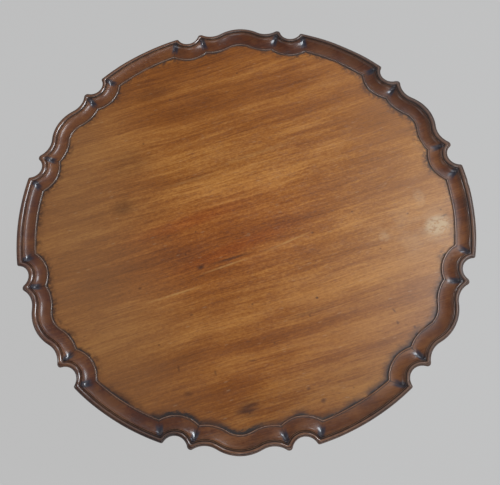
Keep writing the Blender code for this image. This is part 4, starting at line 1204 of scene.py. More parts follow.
BOARD = TopMahogany()
PLATE_WOOD = FrameMahogany("plate_mahogany")
BEARER_WOOD = FrameMahogany("bearer_mahogany", grain=Grain.ALONG_Y, shade=(0.04, 0.018, 0.009),
                            middle=(0.098, 0.044, 0.021), light=(0.17, 0.086, 0.044), polish=0.08, rough=0.5)
TURNED_WOOD = FrameMahogany("turned_mahogany", grain=Grain.UPRIGHT)
BRASS = Metal()
IRON = Metal("wrought_iron", Slot.IRON, bright=(0.19, 0.18, 0.17), dull=(0.06, 0.045, 0.036),
             spot=(0.085, 0.036, 0.018), rough=0.48, clean=0.62, pitted=0.8)
STEEL = Metal("screw_steel", Slot.STEEL, bright=(0.44, 0.42, 0.39), dull=(0.17, 0.14, 0.11),
              spot=(0.075, 0.04, 0.024), rough=0.36, clean=0.55, pitted=0.7)


# Table top


@dataclass(frozen=True)
class RimLevel:
    """One line of the moulding, all round the board."""

    inset: float
    height: float
    corner_round: float
    tip_round: float
    tip_pull: float


@dataclass
class ScallopedRim:
    """The six-lobed outline and the moulding carved along it."""

    radius: float = 0.38
    lobes: int = 6
    turn: float = radians(-17)
    bulge_radius: float = 0.067
    bulge_inset: float = 0.001
    dip_radius: float = 0.0342
    dip_depth: float = 0.0118
    scoop_radius: float = 0.0198
    scoop_rise: float = 0.0031
    tip_reach: float = 0.385
    long_steps: int = 18
    scoop_steps: int = 18
    dip_steps: int = 14
    bulge_steps: int = 10
    mitre_reach: float = 0.0058
    round_share: float = 0.45
    lip: Stops = (
        (5.5, -8.0), (5.0, -6.9), (1.3, 2.9), (0.6, 4.3), (0.15, 5.3), (0.0, 6.2), (0.1, 7.2), (0.35, 8.0),
        (0.8, 8.6), (1.3, 8.95), (1.8, 9.0), (2.1, 8.8), (2.35, 8.6), (2.5, 9.1), (2.7, 9.42), (3.1, 9.55),
        (3.6, 9.6), (4.0, 9.54), (4.4, 9.4), (4.8, 9.15), (5.2, 8.81), (5.6, 8.4), (5.85, 8.0), (6.1, 7.3),
        (6.35, 6.8), (6.7, 6.7), (6.95, 7.0), (7.1, 7.5), (7.3, 7.8), (7.5, 7.8), (7.7, 7.5), (7.85, 7.0),
        (8.05, 6.7), (8.3, 6.65), (8.5, 6.9), (8.65, 7.4), (8.85, 7.9), (9.05, 8.1), (9.2, 8.1))
    cove_start: Pair = (9.2, 8.1)
    cove_size: Pair = (19.2, 7.4)
    cove_steps: int = 16
    bead: Stops = (
        (28.6, 1.0), (28.9, 1.28), (29.3, 1.42), (29.7, 1.42), (30.1, 1.26), (30.45, 0.9), (30.7, 0.4),
        (30.85, 0.1), (31.0, 0.0), (31.5, 0.0), (33.0, 0.0), (36.0, 0.0), (40.0, 0.0))
    corner_rounds: Stops = (
        (0.0, 3.2), (5.0, 2.4), (8.0, 1.8), (10.0, 2.2), (14.0, 3.0), (23.0, 3.0), (28.0, 1.4), (31.0, 0.9))
    tip_rounds: Stops = (
        (0.0, 12.0), (1.8, 10.0), (2.5, 8.5), (5.0, 5.0), (8.0, 3.0), (14.0, 3.4), (23.0, 3.4), (28.0, 1.6),
        (31.0, 0.9))
    tip_pulls: Stops = ((0.0, 0.38), (2.5, 0.5), (5.0, 0.85), (8.0, 1.0))

    def section(self) -> list[RimLevel]:
        """Levels of the moulding from the foot of the edge to the field, in metres."""
        line = list(self.lip)
        wide, tall = self.cove_size
        end = self.cove_start[0] + wide
        for i in range(1, self.cove_steps + 1):
            turn = pi / 2 * i / self.cove_steps
            line.append((end - wide * cos(turn), self.cove_start[1] - tall * sin(turn)))
        line += self.bead
        return [RimLevel(inset / 1000, height / 1000, between(self.corner_rounds, inset) / 1000,
                         between(self.tip_rounds, inset) / 1000, between(self.tip_pulls, inset))
                for inset, height in line]

    def arcs(self, inset: float) -> list[Arc]:
        """Find the arcs of half a lobe.

        Args:
            inset: How far they lie inside the outline.

        Returns:
            The long arc, the scoop, the dip and the bulge.
        """
        half = pi / self.lobes
        bulge_reach = self.radius - self.bulge_inset - self.bulge_radius
        dip_reach = self.radius - self.dip_depth + self.dip_radius
        scoop_reach = self.radius + self.scoop_rise
        dip_turn = half - apex_angle(bulge_reach, dip_reach, self.bulge_radius + self.dip_radius)
        tip_turn = dip_turn - apex_angle(dip_reach, self.tip_reach, self.dip_radius)
        scoop_turn = tip_turn - apex_angle(scoop_reach, self.tip_reach, self.scoop_radius)
        bulge = polar(bulge_reach, half)
        dip = polar(dip_reach, dip_turn)
        scoop = polar(scoop_reach, scoop_turn)
        middle = Vector((0.0, 0.0))
        edge = self.radius - inset
        corner = crossings(middle, edge, scoop, self.scoop_radius + inset)[1]
        tips = crossings(scoop, self.scoop_radius + inset, dip, self.dip_radius + inset)
        tip = min(tips, key=lambda p: p.length)
        seam = bulge + (dip - bulge).normalized() * (self.bulge_radius - inset)
        crown = polar(edge - self.bulge_inset, half)
        return [Arc(middle, polar(edge, 0.0), corner), Arc(scoop, corner, tip), Arc(dip, tip, seam),
                Arc(bulge, seam, crown)]

    def shares(self) -> list[list[float]]:
        """Where points lie on each arc, crowded towards the mitres."""
        return [
            [sin(pi / 2 * i / self.long_steps) for i in range(self.long_steps)],
            [0.5 - 0.5 * cos(pi * i / self.scoop_steps) for i in range(self.scoop_steps)],
            [1.0 - cos(pi / 2 * i / self.dip_steps) for i in range(self.dip_steps)],
            [i / self.bulge_steps for i in range(self.bulge_steps)],
        ]

    @staticmethod
    def bend(before: Arc, after: Arc, reach: float, pull: float, walked: float) -> Vector:
        """A point of the round that joins two arcs at a mitre.

        Args:
            before: The arc that ends at the mitre.
            after: The arc that starts there.
            reach: How far the round runs along each.
            pull: How far it goes towards the mitre; below 1 it is blunt.
            walked: Distance past the mitre, below 0 ahead of it.

        Returns:
            The point.
        """
        share = (walked + reach) / (2 * reach)
        first = before.point(before.length - reach)
        corner = after.point(0.0)
        last = after.point(reach)
        weights = (1 - share) ** 2, 2 * pull * share * (1 - share), share**2
        return (first * weights[0] + corner * weights[1] + last * weights[2]) / sum(weights)

    def half_lobe(self, level: RimLevel) -> list[tuple[Vector, float]]:
        """Walk half a lobe at one level.

        Args:
            level: The level.

        Returns:
            Its points and how near each is to a mitre, from 0 to 1.
        """
        arcs = self.arcs(level.inset)
        rounds = (level.corner_round, level.tip_round)
        pulls = (1.0, level.tip_pull)
        path = []
        for number, (arc, steps) in enumerate(zip(arcs, self.shares())):
            for share in steps:
                walked = share * arc.length
                point, nearest = arc.point(walked), 1.0
                for mitre, past in ((number - 1, walked), (number, walked - arc.length)):
                    if mitre in (0, 1):
                        before, after = arcs[mitre : mitre + 2]
                        reach = min(rounds[mitre], *(self.round_share * a.length for a in (before, after)))
                        nearest = min(nearest, abs(past))
                        if abs(past) < reach:
                            point = self.bend(before, after, reach, pulls[mitre], past)
                path.append((point, exp(-((nearest / self.mitre_reach) ** 2))))
        path.append((arcs[-1].point(arcs[-1].length), 0.0))
        return path

    def ring(self, level: RimLevel) -> tuple[list[Vector], list[float]]:
        """The whole outline at one level.

        Args:
            level: The level.

        Returns:
            Its points in plan, and how near each is to a mitre.
        """
        half = pi / self.lobes
        path = [(p.length, atan2(p.y, p.x), m) for p, m in self.half_lobe(level)]
        lobe = path + [(r, 2 * half - a, m) for r, a, m in reversed(path[1:-1])]
        whole = [(polar(r, self.turn + 2 * half * k + a), m) for k in range(self.lobes) for r, a, m in lobe]
        return [p for p, _ in whole], [m for _, m in whole]


@dataclass
class TableTop:
    """The board: scalloped rim, flat field, bevelled underside, two bearers and their screws."""

    rim: ScallopedRim = field(default_factory=ScallopedRim)
    field_z: float = 0.706
    underside_z: float = 0.689
    underside_radius: float = 0.322
    unevenness: float = 0.00035
    quirk_shift: Stops = (
        (-17, 2.3), (13, 2.4), (43, -0.3), (73, -0.4), (103, 0.3), (133, 2.4), (163, 2.7), (193, 2.6),
        (223, 0.8), (253, 0.8), (283, -0.2), (313, -0.4), (343, 2.3))
    quirk_run: Stops = ((0.0015, 0.0), (0.007, 1.0), (0.0095, 1.0), (0.026, 0.0))
    carved_run: Stops = ((0.0, 1.0), (0.029, 1.0), (0.034, 0.0))
    slow_scale: Pair = (16, 40)
    side_scale: Pair = (21, 30)
    side_shift: float = 7
    quick_scale: Pair = (170, 260)
    tool_marks: float = 0.0001
    pocket_depth: float = 0.002
    pocket_run: Stops = ((0.0088, 0.0), (0.0115, 1.0), (0.015, 1.0), (0.025, 0.0))
    pocket_share: Stops = ((14.5, 0.5), (16.5, 1.0))
    outer_scales: tuple[float, ...] = (0.0, 0.35, 0.7, 0.97, 1.0)
    inner_scales: tuple[float, ...] = (0.94, 0.8, 0.6, 0.36, 0.14, 0.0)
    field_inset: float = 0.06
    under_slope: float = 0.001
    nicked: float = 0.0075
    nicks: tuple[Run, ...] = (
        (0.3726, -0.0661, 0.0032, 0.0016), (-0.1083, -0.3623, 0.0026, 0.0013),
        (-0.0703, -0.3645, 0.0022, 0.0011), (-0.359, -0.0894, 0.0016, 0.0018),
        (0.1108, 0.349, 0.0028, 0.0014), (-0.0311, 0.3694, 0.0034, 0.0018))
    crease: float = 42.0
    bearer_x: float = 0.1078
    bearer_width: float = 0.024
    bearer_bottom: float = 0.6587
    bearer_top: float = 0.6887
    bearer_half: float = 0.25
    bearer_taper: float = 0.06
    bearer_tip: float = 0.014
    bearer_round: float = 0.003
    bearer_easing: float = 0.0008
    pintle_radius: float = 0.0075
    pintle_y: float = -0.083
    pintle_z: float = 0.6767
    screw_spread: float = 0.17

    def carved(self, point: Vector, level: RimLevel, near: float) -> Place:
        """Give a point of the rim the unevenness of hand carving.

        Args:
            point: The point in plan.
            level: The level it is on.
            near: How near it is to a mitre, from 0 to 1.

        Returns:
            Its place in space.
        """
        first, lobe = degrees(self.rim.turn), 360 / self.rim.lobes
        fade = between(self.carved_run, level.inset)
        slow, side, quick = (
            noise.noise(Vector((point.x * plan + shift, point.y * plan, level.inset * across)))
            for (plan, across), shift in ((self.slow_scale, 0.0), (self.side_scale, self.side_shift),
                                          (self.quick_scale, 0.0)))
        lift = (slow * self.unevenness + quick * self.tool_marks) * fade
        heading = (degrees(atan2(point.y, point.x)) - first) % 360 + first
        gouge = between(self.pocket_share, abs((heading - first + lobe / 2) % lobe - lobe / 2))
        lift -= self.pocket_depth * near * gouge * between(self.pocket_run, level.inset)
        widened = between(self.quirk_shift, heading) / 1000 * between(self.quirk_run, level.inset)
        spread = 1.0 + (side * self.unevenness * fade - widened) / point.length
        for nick_x, nick_y, reach, depth in self.nicks:
            away = (point - Vector((nick_x, nick_y))).length
            if away < 3 * reach and level.inset < self.nicked:
                lift -= depth * exp(-((away / reach) ** 2))
        return point.x * spread, point.y * spread, self.field_z + level.height + lift

    def board(self) -> Piece:
        """Model the board: underside, edge, moulding and field in one skin."""
        levels = self.rim.section()
        foot, near = self.rim.ring(levels[0])
        none = [0.0] * len(foot)
        rings, insets, mitres = [], [], []
        for scale in self.outer_scales:
            reach = self.underside_radius * scale
            rings.append([(*(p.normalized() * reach), self.underside_z) for p in foot])
            insets.append([self.field_inset - self.under_slope * scale] * len(foot))
            mitres.append(none)
        for level in levels:
            points, near = self.rim.ring(level)
            rings.append([self.carved(p, level, m) for p, m in zip(points, near)])
            insets.append([level.inset] * len(points))
            mitres.append(near)
        edge = rings[-1]
        for scale in self.inner_scales:
            rings.append([(p[0] * scale, p[1] * scale, self.field_z) for p in edge])
            insets.append([self.field_inset] * len(edge))
            mitres.append(none)
        return loft("carved_board", rings, capped=False, layers={"inset": insets, "mitre": mitres})

    def bearer(self, side: int) -> Piece:
        """Model a bearer.

        Args:
            side: -1 for the left one, 1 for the right one.

        Returns:
            The bearer, bored for the pintle.
        """
        low_x = side * self.bearer_x - self.bearer_width / 2
        high_x = low_x + self.bearer_width
        shoulder = self.bearer_half - self.bearer_taper
        tip = self.bearer_top - self.bearer_tip
        rings = []
        for y, bottom in ((-self.bearer_half, tip), (-shoulder, self.bearer_bottom),
                          (shoulder, self.bearer_bottom), (self.bearer_half, tip)):
            rings.append([(low_x, y, bottom), (high_x, y, bottom), (high_x, y, self.bearer_top),
                          (low_x, y, self.bearer_top)])
        piece = loft("bearer_batten", rings)
        bore = rod("bore", self.pintle_radius + GAP, (low_x - OVERRUN, self.pintle_y, self.pintle_z),
                   (high_x + OVERRUN, self.pintle_y, self.pintle_z))
        round_edges(piece, self.bearer_round, 4, (low_x - GAP, -1, self.bearer_bottom - GAP),
                    (high_x + GAP, 1, tip + GAP), along=1)
        combine(piece, "DIFFERENCE", bore)
        soften(piece, self.bearer_easing)
        return piece

    def dress(self) -> None:
        """Build, finish and hang the board, its bearers and their screws."""
        fit(self.board(), Carrier.TOP, "table_top", BOARD, self.crease)
        places = []
        for side, name in ((-1, "left"), (1, "right")):
            piece = self.bearer(side)
            piece.name = f"batten_{name}"
            row = [Matrix.Translation((side * self.bearer_x, step * self.screw_spread, self.bearer_bottom))
                   for step in (-1, 0, 1)]
            combine(piece, "DIFFERENCE", *BEARER_SCREW.holes(row))
            fit(piece, Carrier.TOP, f"bearer_{name}", BEARER_WOOD)
            places += row
        BEARER_SCREW.drive("bearer_screw", places, Carrier.TOP)


# Screws


@dataclass
class Screw:
    """A countersunk wood screw with a slotted head, which points up from the face of its head."""

    shank: float
    head: float
    head_height: float
    tip: float
    tip_length: float
    length: float
    sides: int = 28
    head_edge: Stops = ((0.985, 0.05), (0.95, 0.0), (0.0, 0.0))
    slot_share: float = 0.2
    slot_depth: float = 0.45
    first_turn: float = 0.7
    next_turn: float = 1.9
    crease: float = 30.0

    def holes(self, places: Sequence[Matrix]) -> list[Piece]:
        """Make cutting shapes for countersunk holes.

        Args:
            places: Where the heads' faces are and which way the screws point.

        Returns:
            A shape for each place.
        """
        wide, head, deep = self.shank + GAP, self.head + GAP, self.length + GAP
        outline = Profile(0.0, deep).line(wide, deep).line(wide, self.head_height + GAP)
        outline.line(head, GAP).line(head, -OVERRUN).line(0.0, -OVERRUN)
        return repeat(lathe("hole", outline, self.sides), "hole", places)

    def pattern(self) -> Piece:
        """Model one screw."""
        outline = Profile(0.0, self.length).line(self.tip, self.length)
        outline.line(self.shank, self.length - self.tip_length).line(self.shank, self.head_height)
        for radius, depth in self.head_edge:
            outline.line(self.head * radius, self.head * depth)
        piece = lathe("screw_pattern", outline, self.sides)
        wide = self.head * self.slot_share / 2
        deep = self.head_height * self.slot_depth
        slot = block("slot", (-self.head * 2, -wide, -OVERRUN), (self.head * 2, wide, deep))
        return combine(piece, "DIFFERENCE", slot)

    def drive(self, stem: str, places: Sequence[Matrix], carrier: Carrier) -> None:
        """Copy the screw to its places, each head turned as the driver left it.

        Args:
            stem: The nodes' name without their number.
            places: Where the heads' faces are and which way the screws point.
            carrier: The body that they are in.
        """
        turned = [place @ Matrix.Rotation(self.first_turn + self.next_turn * number, 4, "Z")
                  for number, place in enumerate(places, 1)]
        for number, piece in enumerate(repeat(self.pattern(), f"slotted_{stem}", turned), 1):
            fit(piece, carrier, f"{stem}_{number}", STEEL, self.crease)


BEARER_SCREW = Screw(shank=0.0024, head=0.0046, head_height=0.0026, tip=0.0008, tip_length=0.005,
                     length=0.037)
KEEPER_SCREW = Screw(shank=0.0014, head=0.0027, head_height=0.0014, tip=0.0005, tip_length=0.003,
                     length=0.012)
STAY_SCREW = Screw(shank=0.002, head=0.0038, head_height=0.0018, tip=0.0007, tip_length=0.004,
                   length=0.022)
CATCH_SCREW = Screw(shank=0.0014, head=0.0028, head_height=0.0015, tip=0.0005, tip_length=0.003,
                    length=0.011)


# Birdcage


@dataclass
class Birdcage:
    """Two plates and four balusters that turn on the pillar, with the bolt's keeper."""

    half: float = 0.095
    lower_half: float = 0.092
    upper_bottom: float = 0.6647
    upper_top: float = 0.6887
    lower_bottom: float = 0.5627
    lower_top: float = 0.5867
    easing: float = 0.0012
    round_spare: float = 1e-5
    lower_round: float = 0.003
    pintle_radius: float = 0.0075
    pintle_y: float = -0.083
    pintle_z: float = 0.6767
    pintle_reach: float = 0.1178
    pintle_root: float = 0.02
    socket_radius: float = 0.0125
    socket_depth: float = 0.014
    spigot_radius: float = 0.019
    baluster_place: float = 0.066
    tenon: float = 0.0068
    ring: float = 0.0105
    neck: float = 0.0066
    belly: float = 0.0125
    seat: float = 0.0075
    bead: float = 0.0055
    belly_rise: float = 0.018
    edge: float = 0.0007
    next_turn: float = 1.3
    bolt_z: float = 0.6785
    bolt_half: Pair = (0.0066, 0.0036)
    mortise_start: float = 0.079
    keeper_half: Pair = (0.023, 0.00775)
    keeper_thick: float = 0.0018
    keeper_spread: float = 0.0165
    keeper_cut: float = 0.01
    keeper_easing: float = 0.0002

    def corners(self) -> list[Pair]:
        """Axes of the balusters, in the order of their numbers."""
        steps = (-self.baluster_place, self.baluster_place)
        return [(x, y) for x in steps for y in steps]

    def tenon_holes(self, low: float, high: float) -> list[Piece]:
        """Cutting shapes for the tenons through a plate."""
        return [rod("tenon_hole", self.tenon + GAP, (x, y, low - OVERRUN), (x, y, high + OVERRUN))
                for x, y in self.corners()]

    def passage(self, start: float, end: float) -> Piece:
        """A cutting shape for the bolt's way, from one Y to another."""
        return bar("passage", self.bolt_half, self.bolt_z, start, end)

    def keeper_places(self) -> list[Matrix]:
        """Where the keeper's two screws are."""
        inwards = Matrix.Rotation(pi / 2, 4, "X")
        return [Matrix.Translation((side * self.keeper_spread, self.half, self.bolt_z)) @ inwards
                for side in (-1, 1)]

    def upper_plate(self) -> Piece:
        """Model the plate that the top tips on."""
        low = Vector((-self.half, -self.half, self.upper_bottom))
        high = Vector((self.half, self.half, self.upper_top))
        piece = block("cage_head", low, high)
        thick = self.upper_top - self.upper_bottom
        round_edges(piece, thick / 2 - self.round_spare, 12, (-1, -self.half - GAP, 0),
                    (1, -self.half + GAP, 1), along=0)
        pintles = []
        for side in (-1, 1):
            root, tip = ((side * x, self.pintle_y, self.pintle_z)
                         for x in (self.half - self.pintle_root, self.pintle_reach))
            pintles.append(rod("pintle", self.pintle_radius, root, tip))
        combine(piece, "UNION", *pintles)
        soften(piece, self.easing, 3)
        bottom = self.upper_bottom
        socket = rod("socket", self.socket_radius + GAP, (0, 0, bottom - OVERRUN),
                     (0, 0, bottom + self.socket_depth + GAP), 64)
        recess = bar("recess", [size + GAP for size in self.keeper_half], self.bolt_z,
                     self.half - self.keeper_thick - GAP, self.half + OVERRUN)
        mortise = self.passage(self.mortise_start, self.half)
        combine(piece, "DIFFERENCE", socket, recess, mortise, *KEEPER_SCREW.holes(self.keeper_places()))
        return combine(piece, "DIFFERENCE", *self.tenon_holes(bottom, self.upper_top))

    def lower_plate(self) -> Piece:
        """Model the plate that turns on the pillar's shoulder."""
        half = self.lower_half
        piece = block("cage_floor", (-half, -half, self.lower_bottom), (half, half, self.lower_top))
        round_edges(piece, self.lower_round, 5, (-1, -1, 0), (1, 1, 1))
        bore = rod("bore", self.spigot_radius + GAP, (0, 0, self.lower_bottom - OVERRUN),
                   (0, 0, self.lower_top + OVERRUN), 72)
        return combine(piece, "DIFFERENCE", bore, *self.tenon_holes(self.lower_bottom, self.lower_top))

    def baluster(self) -> Piece:
        """Model a baluster with its foot on the lower plate."""
        low = self.lower_top + GAP
        high = self.upper_bottom - GAP
        plate = self.upper_top - self.upper_bottom
        vase_low = low + self.seat + self.bead
        vase_high = high - self.seat - self.bead
        belly = vase_low + self.belly_rise
        swell = (self.ring - self.neck) / 2
        slack = (vase_high - belly) / 2
        edge = self.edge
        end = ((self.tenon - edge, plate), (self.tenon, plate - edge), (self.tenon, 0.0),
               (self.ring - edge, 0.0), (self.ring, -edge), (self.ring, edge - self.seat),
               (self.ring - edge, -self.seat))
        outline = Profile(0.0, high + plate)
        for radius, rise in end:
            outline.line(radius, high + rise)
        outline.line(self.neck, high - self.seat).bead(self.bead, swell)
        outline.sweep((self.neck, vase_high - slack), (self.belly, belly + slack), (self.belly, belly), 22)
        outline.cove(self.neck, belly - vase_low, 16).bead(self.bead, swell)
        for radius, rise in reversed(end):
            outline.line(radius, low - rise)
        outline.line(0.0, low - plate)
        return lathe("baluster_pattern", outline, 48)

    def keeper(self) -> Piece:
        """Model the plate that the bolt shoots into."""
        piece = bar("strike", self.keeper_half, self.bolt_z, self.half - self.keeper_thick, self.half)
        slot = self.passage(self.half - self.keeper_cut, self.half + OVERRUN)
        combine(piece, "DIFFERENCE", slot, *KEEPER_SCREW.holes(self.keeper_places()))
        soften(piece, self.keeper_easing)
        return piece

    def dress(self) -> None:
        """Build, finish and hang the cage."""
        fit(self.upper_plate(), Carrier.CAGE, "cage_upper_plate", PLATE_WOOD)
        fit(self.lower_plate(), Carrier.CAGE, "cage_lower_plate", PLATE_WOOD)
        places = [Matrix.Translation((x, y, 0)) @ Matrix.Rotation(self.next_turn * number, 4, "Z")
                  for number, (x, y) in enumerate(self.corners(), 1)]
        for number, piece in enumerate(repeat(self.baluster(), "turned_baluster", places), 1):
            fit(piece, Carrier.CAGE, f"cage_baluster_{number}", TURNED_WOOD)
        fit(self.keeper(), Carrier.CAGE, "catch_keeper", BRASS)
        KEEPER_SCREW.drive("keeper_screw", self.keeper_places(), Carrier.CAGE)


# Pillar, collar and wedge


@dataclass
class Pillar:
    """The turned pillar, the collar on its spigot and the wedge that holds the cage down."""

    bottom: float = 0.158
    drum_radius: float = 0.038
    drum_height: float = 0.102
    chamfer: float = 0.003
    swell: float = 0.0035
    drum_ring: float = 0.009
    foot_cove: float = 0.013
    vase_foot: float = 0.0235
    vase_radius: float = 0.041
    vase_neck: float = 0.0165
    vase_height: float = 0.128
    vase_pulls: Run = (0.038, 0.033, 0.026, 0.013)
    belly_rise: float = 0.049
    neck_ring: float = 0.01
    column_foot: float = 0.0255
    column_head: float = 0.02
    column_pulls: Pair = (0.0006, 0.0004)
    flare: float = 0.014
    flare_step: Pair = (0.0008, 0.0018)
    astragal: float = 0.007
    fillet: tuple[float, float, float] = (0.00072, 0.0016, 0.0004)
    edge: float = 0.0012
    step: float = 0.001
    capital: float = 0.036
    capital_cove: float = 0.024
    capital_fillet: float = 0.007
    shoulder: float = 0.5624
    spigot_radius: float = 0.019
    spigot_top: float = 0.6384
    pin_radius: float = 0.0125
    pin_top: float = 0.6787
    sides: int = 96
    tongue_depth: float = 0.016
    tongue_neck: float = 0.014
    tongue_wide: float = 0.02
    tongue_height: float = 0.074
    first_leg: float = radians(90)
    collar_radius: float = 0.031
    collar_low: float = 0.587
    collar_top: float = 0.599
    collar_round: float = 0.003
    collar_pull: float = 0.0012
    collar_edge: float = 0.0006
    wedge_half: float = 0.056
    wedge_width: float = 0.008
    wedge_thin: float = 0.012
    wedge_thick: float = 0.017
    wedge_easing: float = 0.0008

    def headings(self) -> list[float]:
        """Headings of the three legs."""
        return [self.first_leg + tau * i / 3 for i in range(3)]

    def tongue(self, clearance: float) -> Piece:
        """The dovetail of a leg that points along +X, or the socket for it.

        Args:
            clearance: Room round the dovetail; 0 gives the dovetail itself.

        Returns:
            The solid.
        """
        inner = self.drum_radius - self.tongue_depth - clearance
        outer = self.drum_radius + self.tongue_depth / 2
        wide = self.tongue_wide / 2 + clearance
        neck = self.tongue_neck / 2 + clearance
        plan = ((inner, -wide), (self.drum_radius, -neck), (outer, -neck), (outer, neck),
                (self.drum_radius, neck), (inner, wide))
        low = self.bottom - (OVERRUN if clearance else 0.0)
        high = self.bottom + self.tongue_height + clearance
        return loft("tongue", [[(x, y, z) for x, y in plan] for z in (low, high)])

    def wedge(self, clearance: float = 0.0) -> Piece:
        """The tapered key through the spigot, or the slot for it.

        Args:
            clearance: Room round the key; 0 gives the key itself.

        Returns:
            The solid.
        """
        half = self.wedge_half + (OVERRUN if clearance else 0.0)
        across = self.wedge_width / 2 + clearance
        low = self.collar_top + GAP - clearance
        middle = self.collar_top + GAP + (self.wedge_thin + self.wedge_thick) / 2 + clearance
        slope = (self.wedge_thick - self.wedge_thin) / (2 * self.wedge_half)
        rings = []
        for x in (-half, half):
            high = middle + slope * x
            rings.append([(x, -across, low), (x, across, low), (x, across, high), (x, -across, high)])
        return loft("drawn_wedge", rings)

    def outline(self) -> Profile:
        """The pillar's profile from the pin to the drum."""
        drum_top = self.bottom + self.drum_height
        vase_low = drum_top + self.drum_ring + self.foot_cove
        vase_high = vase_low + self.vase_height
        column_low = vase_high + self.neck_ring
        belly = vase_low + self.belly_rise
        neck = self.shoulder - self.capital_fillet - self.capital_cove
        edge = self.edge
        line = Profile(0.0, self.pin_top).line(self.pin_radius - edge, self.pin_top)
        line.line(self.pin_radius, self.pin_top - edge).line(self.pin_radius, self.spigot_top)
        line.line(self.spigot_radius - edge, self.spigot_top).line(self.spigot_radius, self.spigot_top - edge)
        line.line(self.spigot_radius, self.shoulder).line(self.capital - edge, self.shoulder)
        line.line(self.capital, self.shoulder - edge).line(self.capital, self.shoulder - self.capital_fillet)
        line.line(self.capital - edge, self.shoulder - self.capital_fillet)
        line.cove(self.column_head + edge, self.capital_cove - self.step, 20)
        line.line(self.column_head + edge, neck).line(self.column_head, neck)
        line.bead(self.astragal, self.swell, 18)
        out, deep, slope = self.fillet
        top = line.points[-1][1]
        line.line(self.column_head + out, top).line(self.column_head + out, top - deep)
        top -= deep + slope
        low = column_low + self.flare
        span = top - low
        thin = self.column_foot - self.swell
        pull_a, pull_b = self.column_pulls
        line.line(self.column_head, top)
        line.sweep((self.column_head + pull_a, top - span / 3), (thin + pull_b, low + span / 3),
                   (thin, low), 18)
        line.cove(self.column_foot - self.flare_step[0], self.flare - self.flare_step[1], 10)
        line.line(self.column_foot, line.points[-1][1]).line(self.column_foot, column_low)
        line.bead(self.neck_ring, self.swell, 20).line(self.vase_neck, vase_high)
        below_neck, above_belly, below_belly, above_foot = self.vase_pulls
        line.sweep((self.vase_neck, vase_high - below_neck), (self.vase_radius, belly + above_belly),
                   (self.vase_radius, belly), 30)
        line.sweep((self.vase_radius, belly - below_belly), (self.vase_foot, vase_low + above_foot),
                   (self.vase_foot, vase_low), 24)
        line.cove(self.drum_radius - self.step, self.foot_cove - self.step, 16)
        line.line(self.drum_radius, line.points[-1][1]).line(self.drum_radius, drum_top + self.drum_ring)
        line.bead(self.drum_ring, self.swell, 18).line(self.drum_radius, drum_top)
        line.line(self.drum_radius, self.bottom + self.chamfer)
        return line.line(self.drum_radius - self.chamfer, self.bottom).line(0.0, self.bottom)

    def collar(self) -> Piece:
        """Model the ring under the wedge."""
        bore, wide, low, top = self.spigot_radius + GAP, self.collar_radius, self.collar_low, self.collar_top
        edge, pull, curve = self.collar_edge, self.collar_pull, self.collar_round
        line = Profile(bore, top - edge).line(bore + edge, top).line(wide - curve, top)
        line.sweep((wide - pull, top), (wide, top - pull), (wide, top - curve), 6).line(wide, low + curve)
        line.sweep((wide, low + pull), (wide - pull, low), (wide - curve, low), 6)
        line.line(bore + edge, low).line(bore, low + edge).line(bore, top - edge)
        return lathe("spigot_collar", line, self.sides)

    def dress(self) -> None:
        """Build, finish and hang the pillar, collar and wedge."""
        piece = lathe("turned_pillar", self.outline(), self.sides)
        sockets = []
        for heading in self.headings():
            socket = self.tongue(GAP)
            socket.data.transform(Matrix.Rotation(heading, 4, "Z"))
            sockets.append(socket)
        combine(piece, "DIFFERENCE", self.wedge(GAP), *sockets)
        fit(piece, Carrier.BASE, "pillar", TURNED_WOOD)
        fit(self.collar(), Carrier.BASE, "cage_collar", PLATE_WOOD)
        key = self.wedge()
        soften(key, self.wedge_easing, 3)
        fit(key, Carrier.BASE, "cage_wedge", PLATE_WOOD)


# Legs and stay


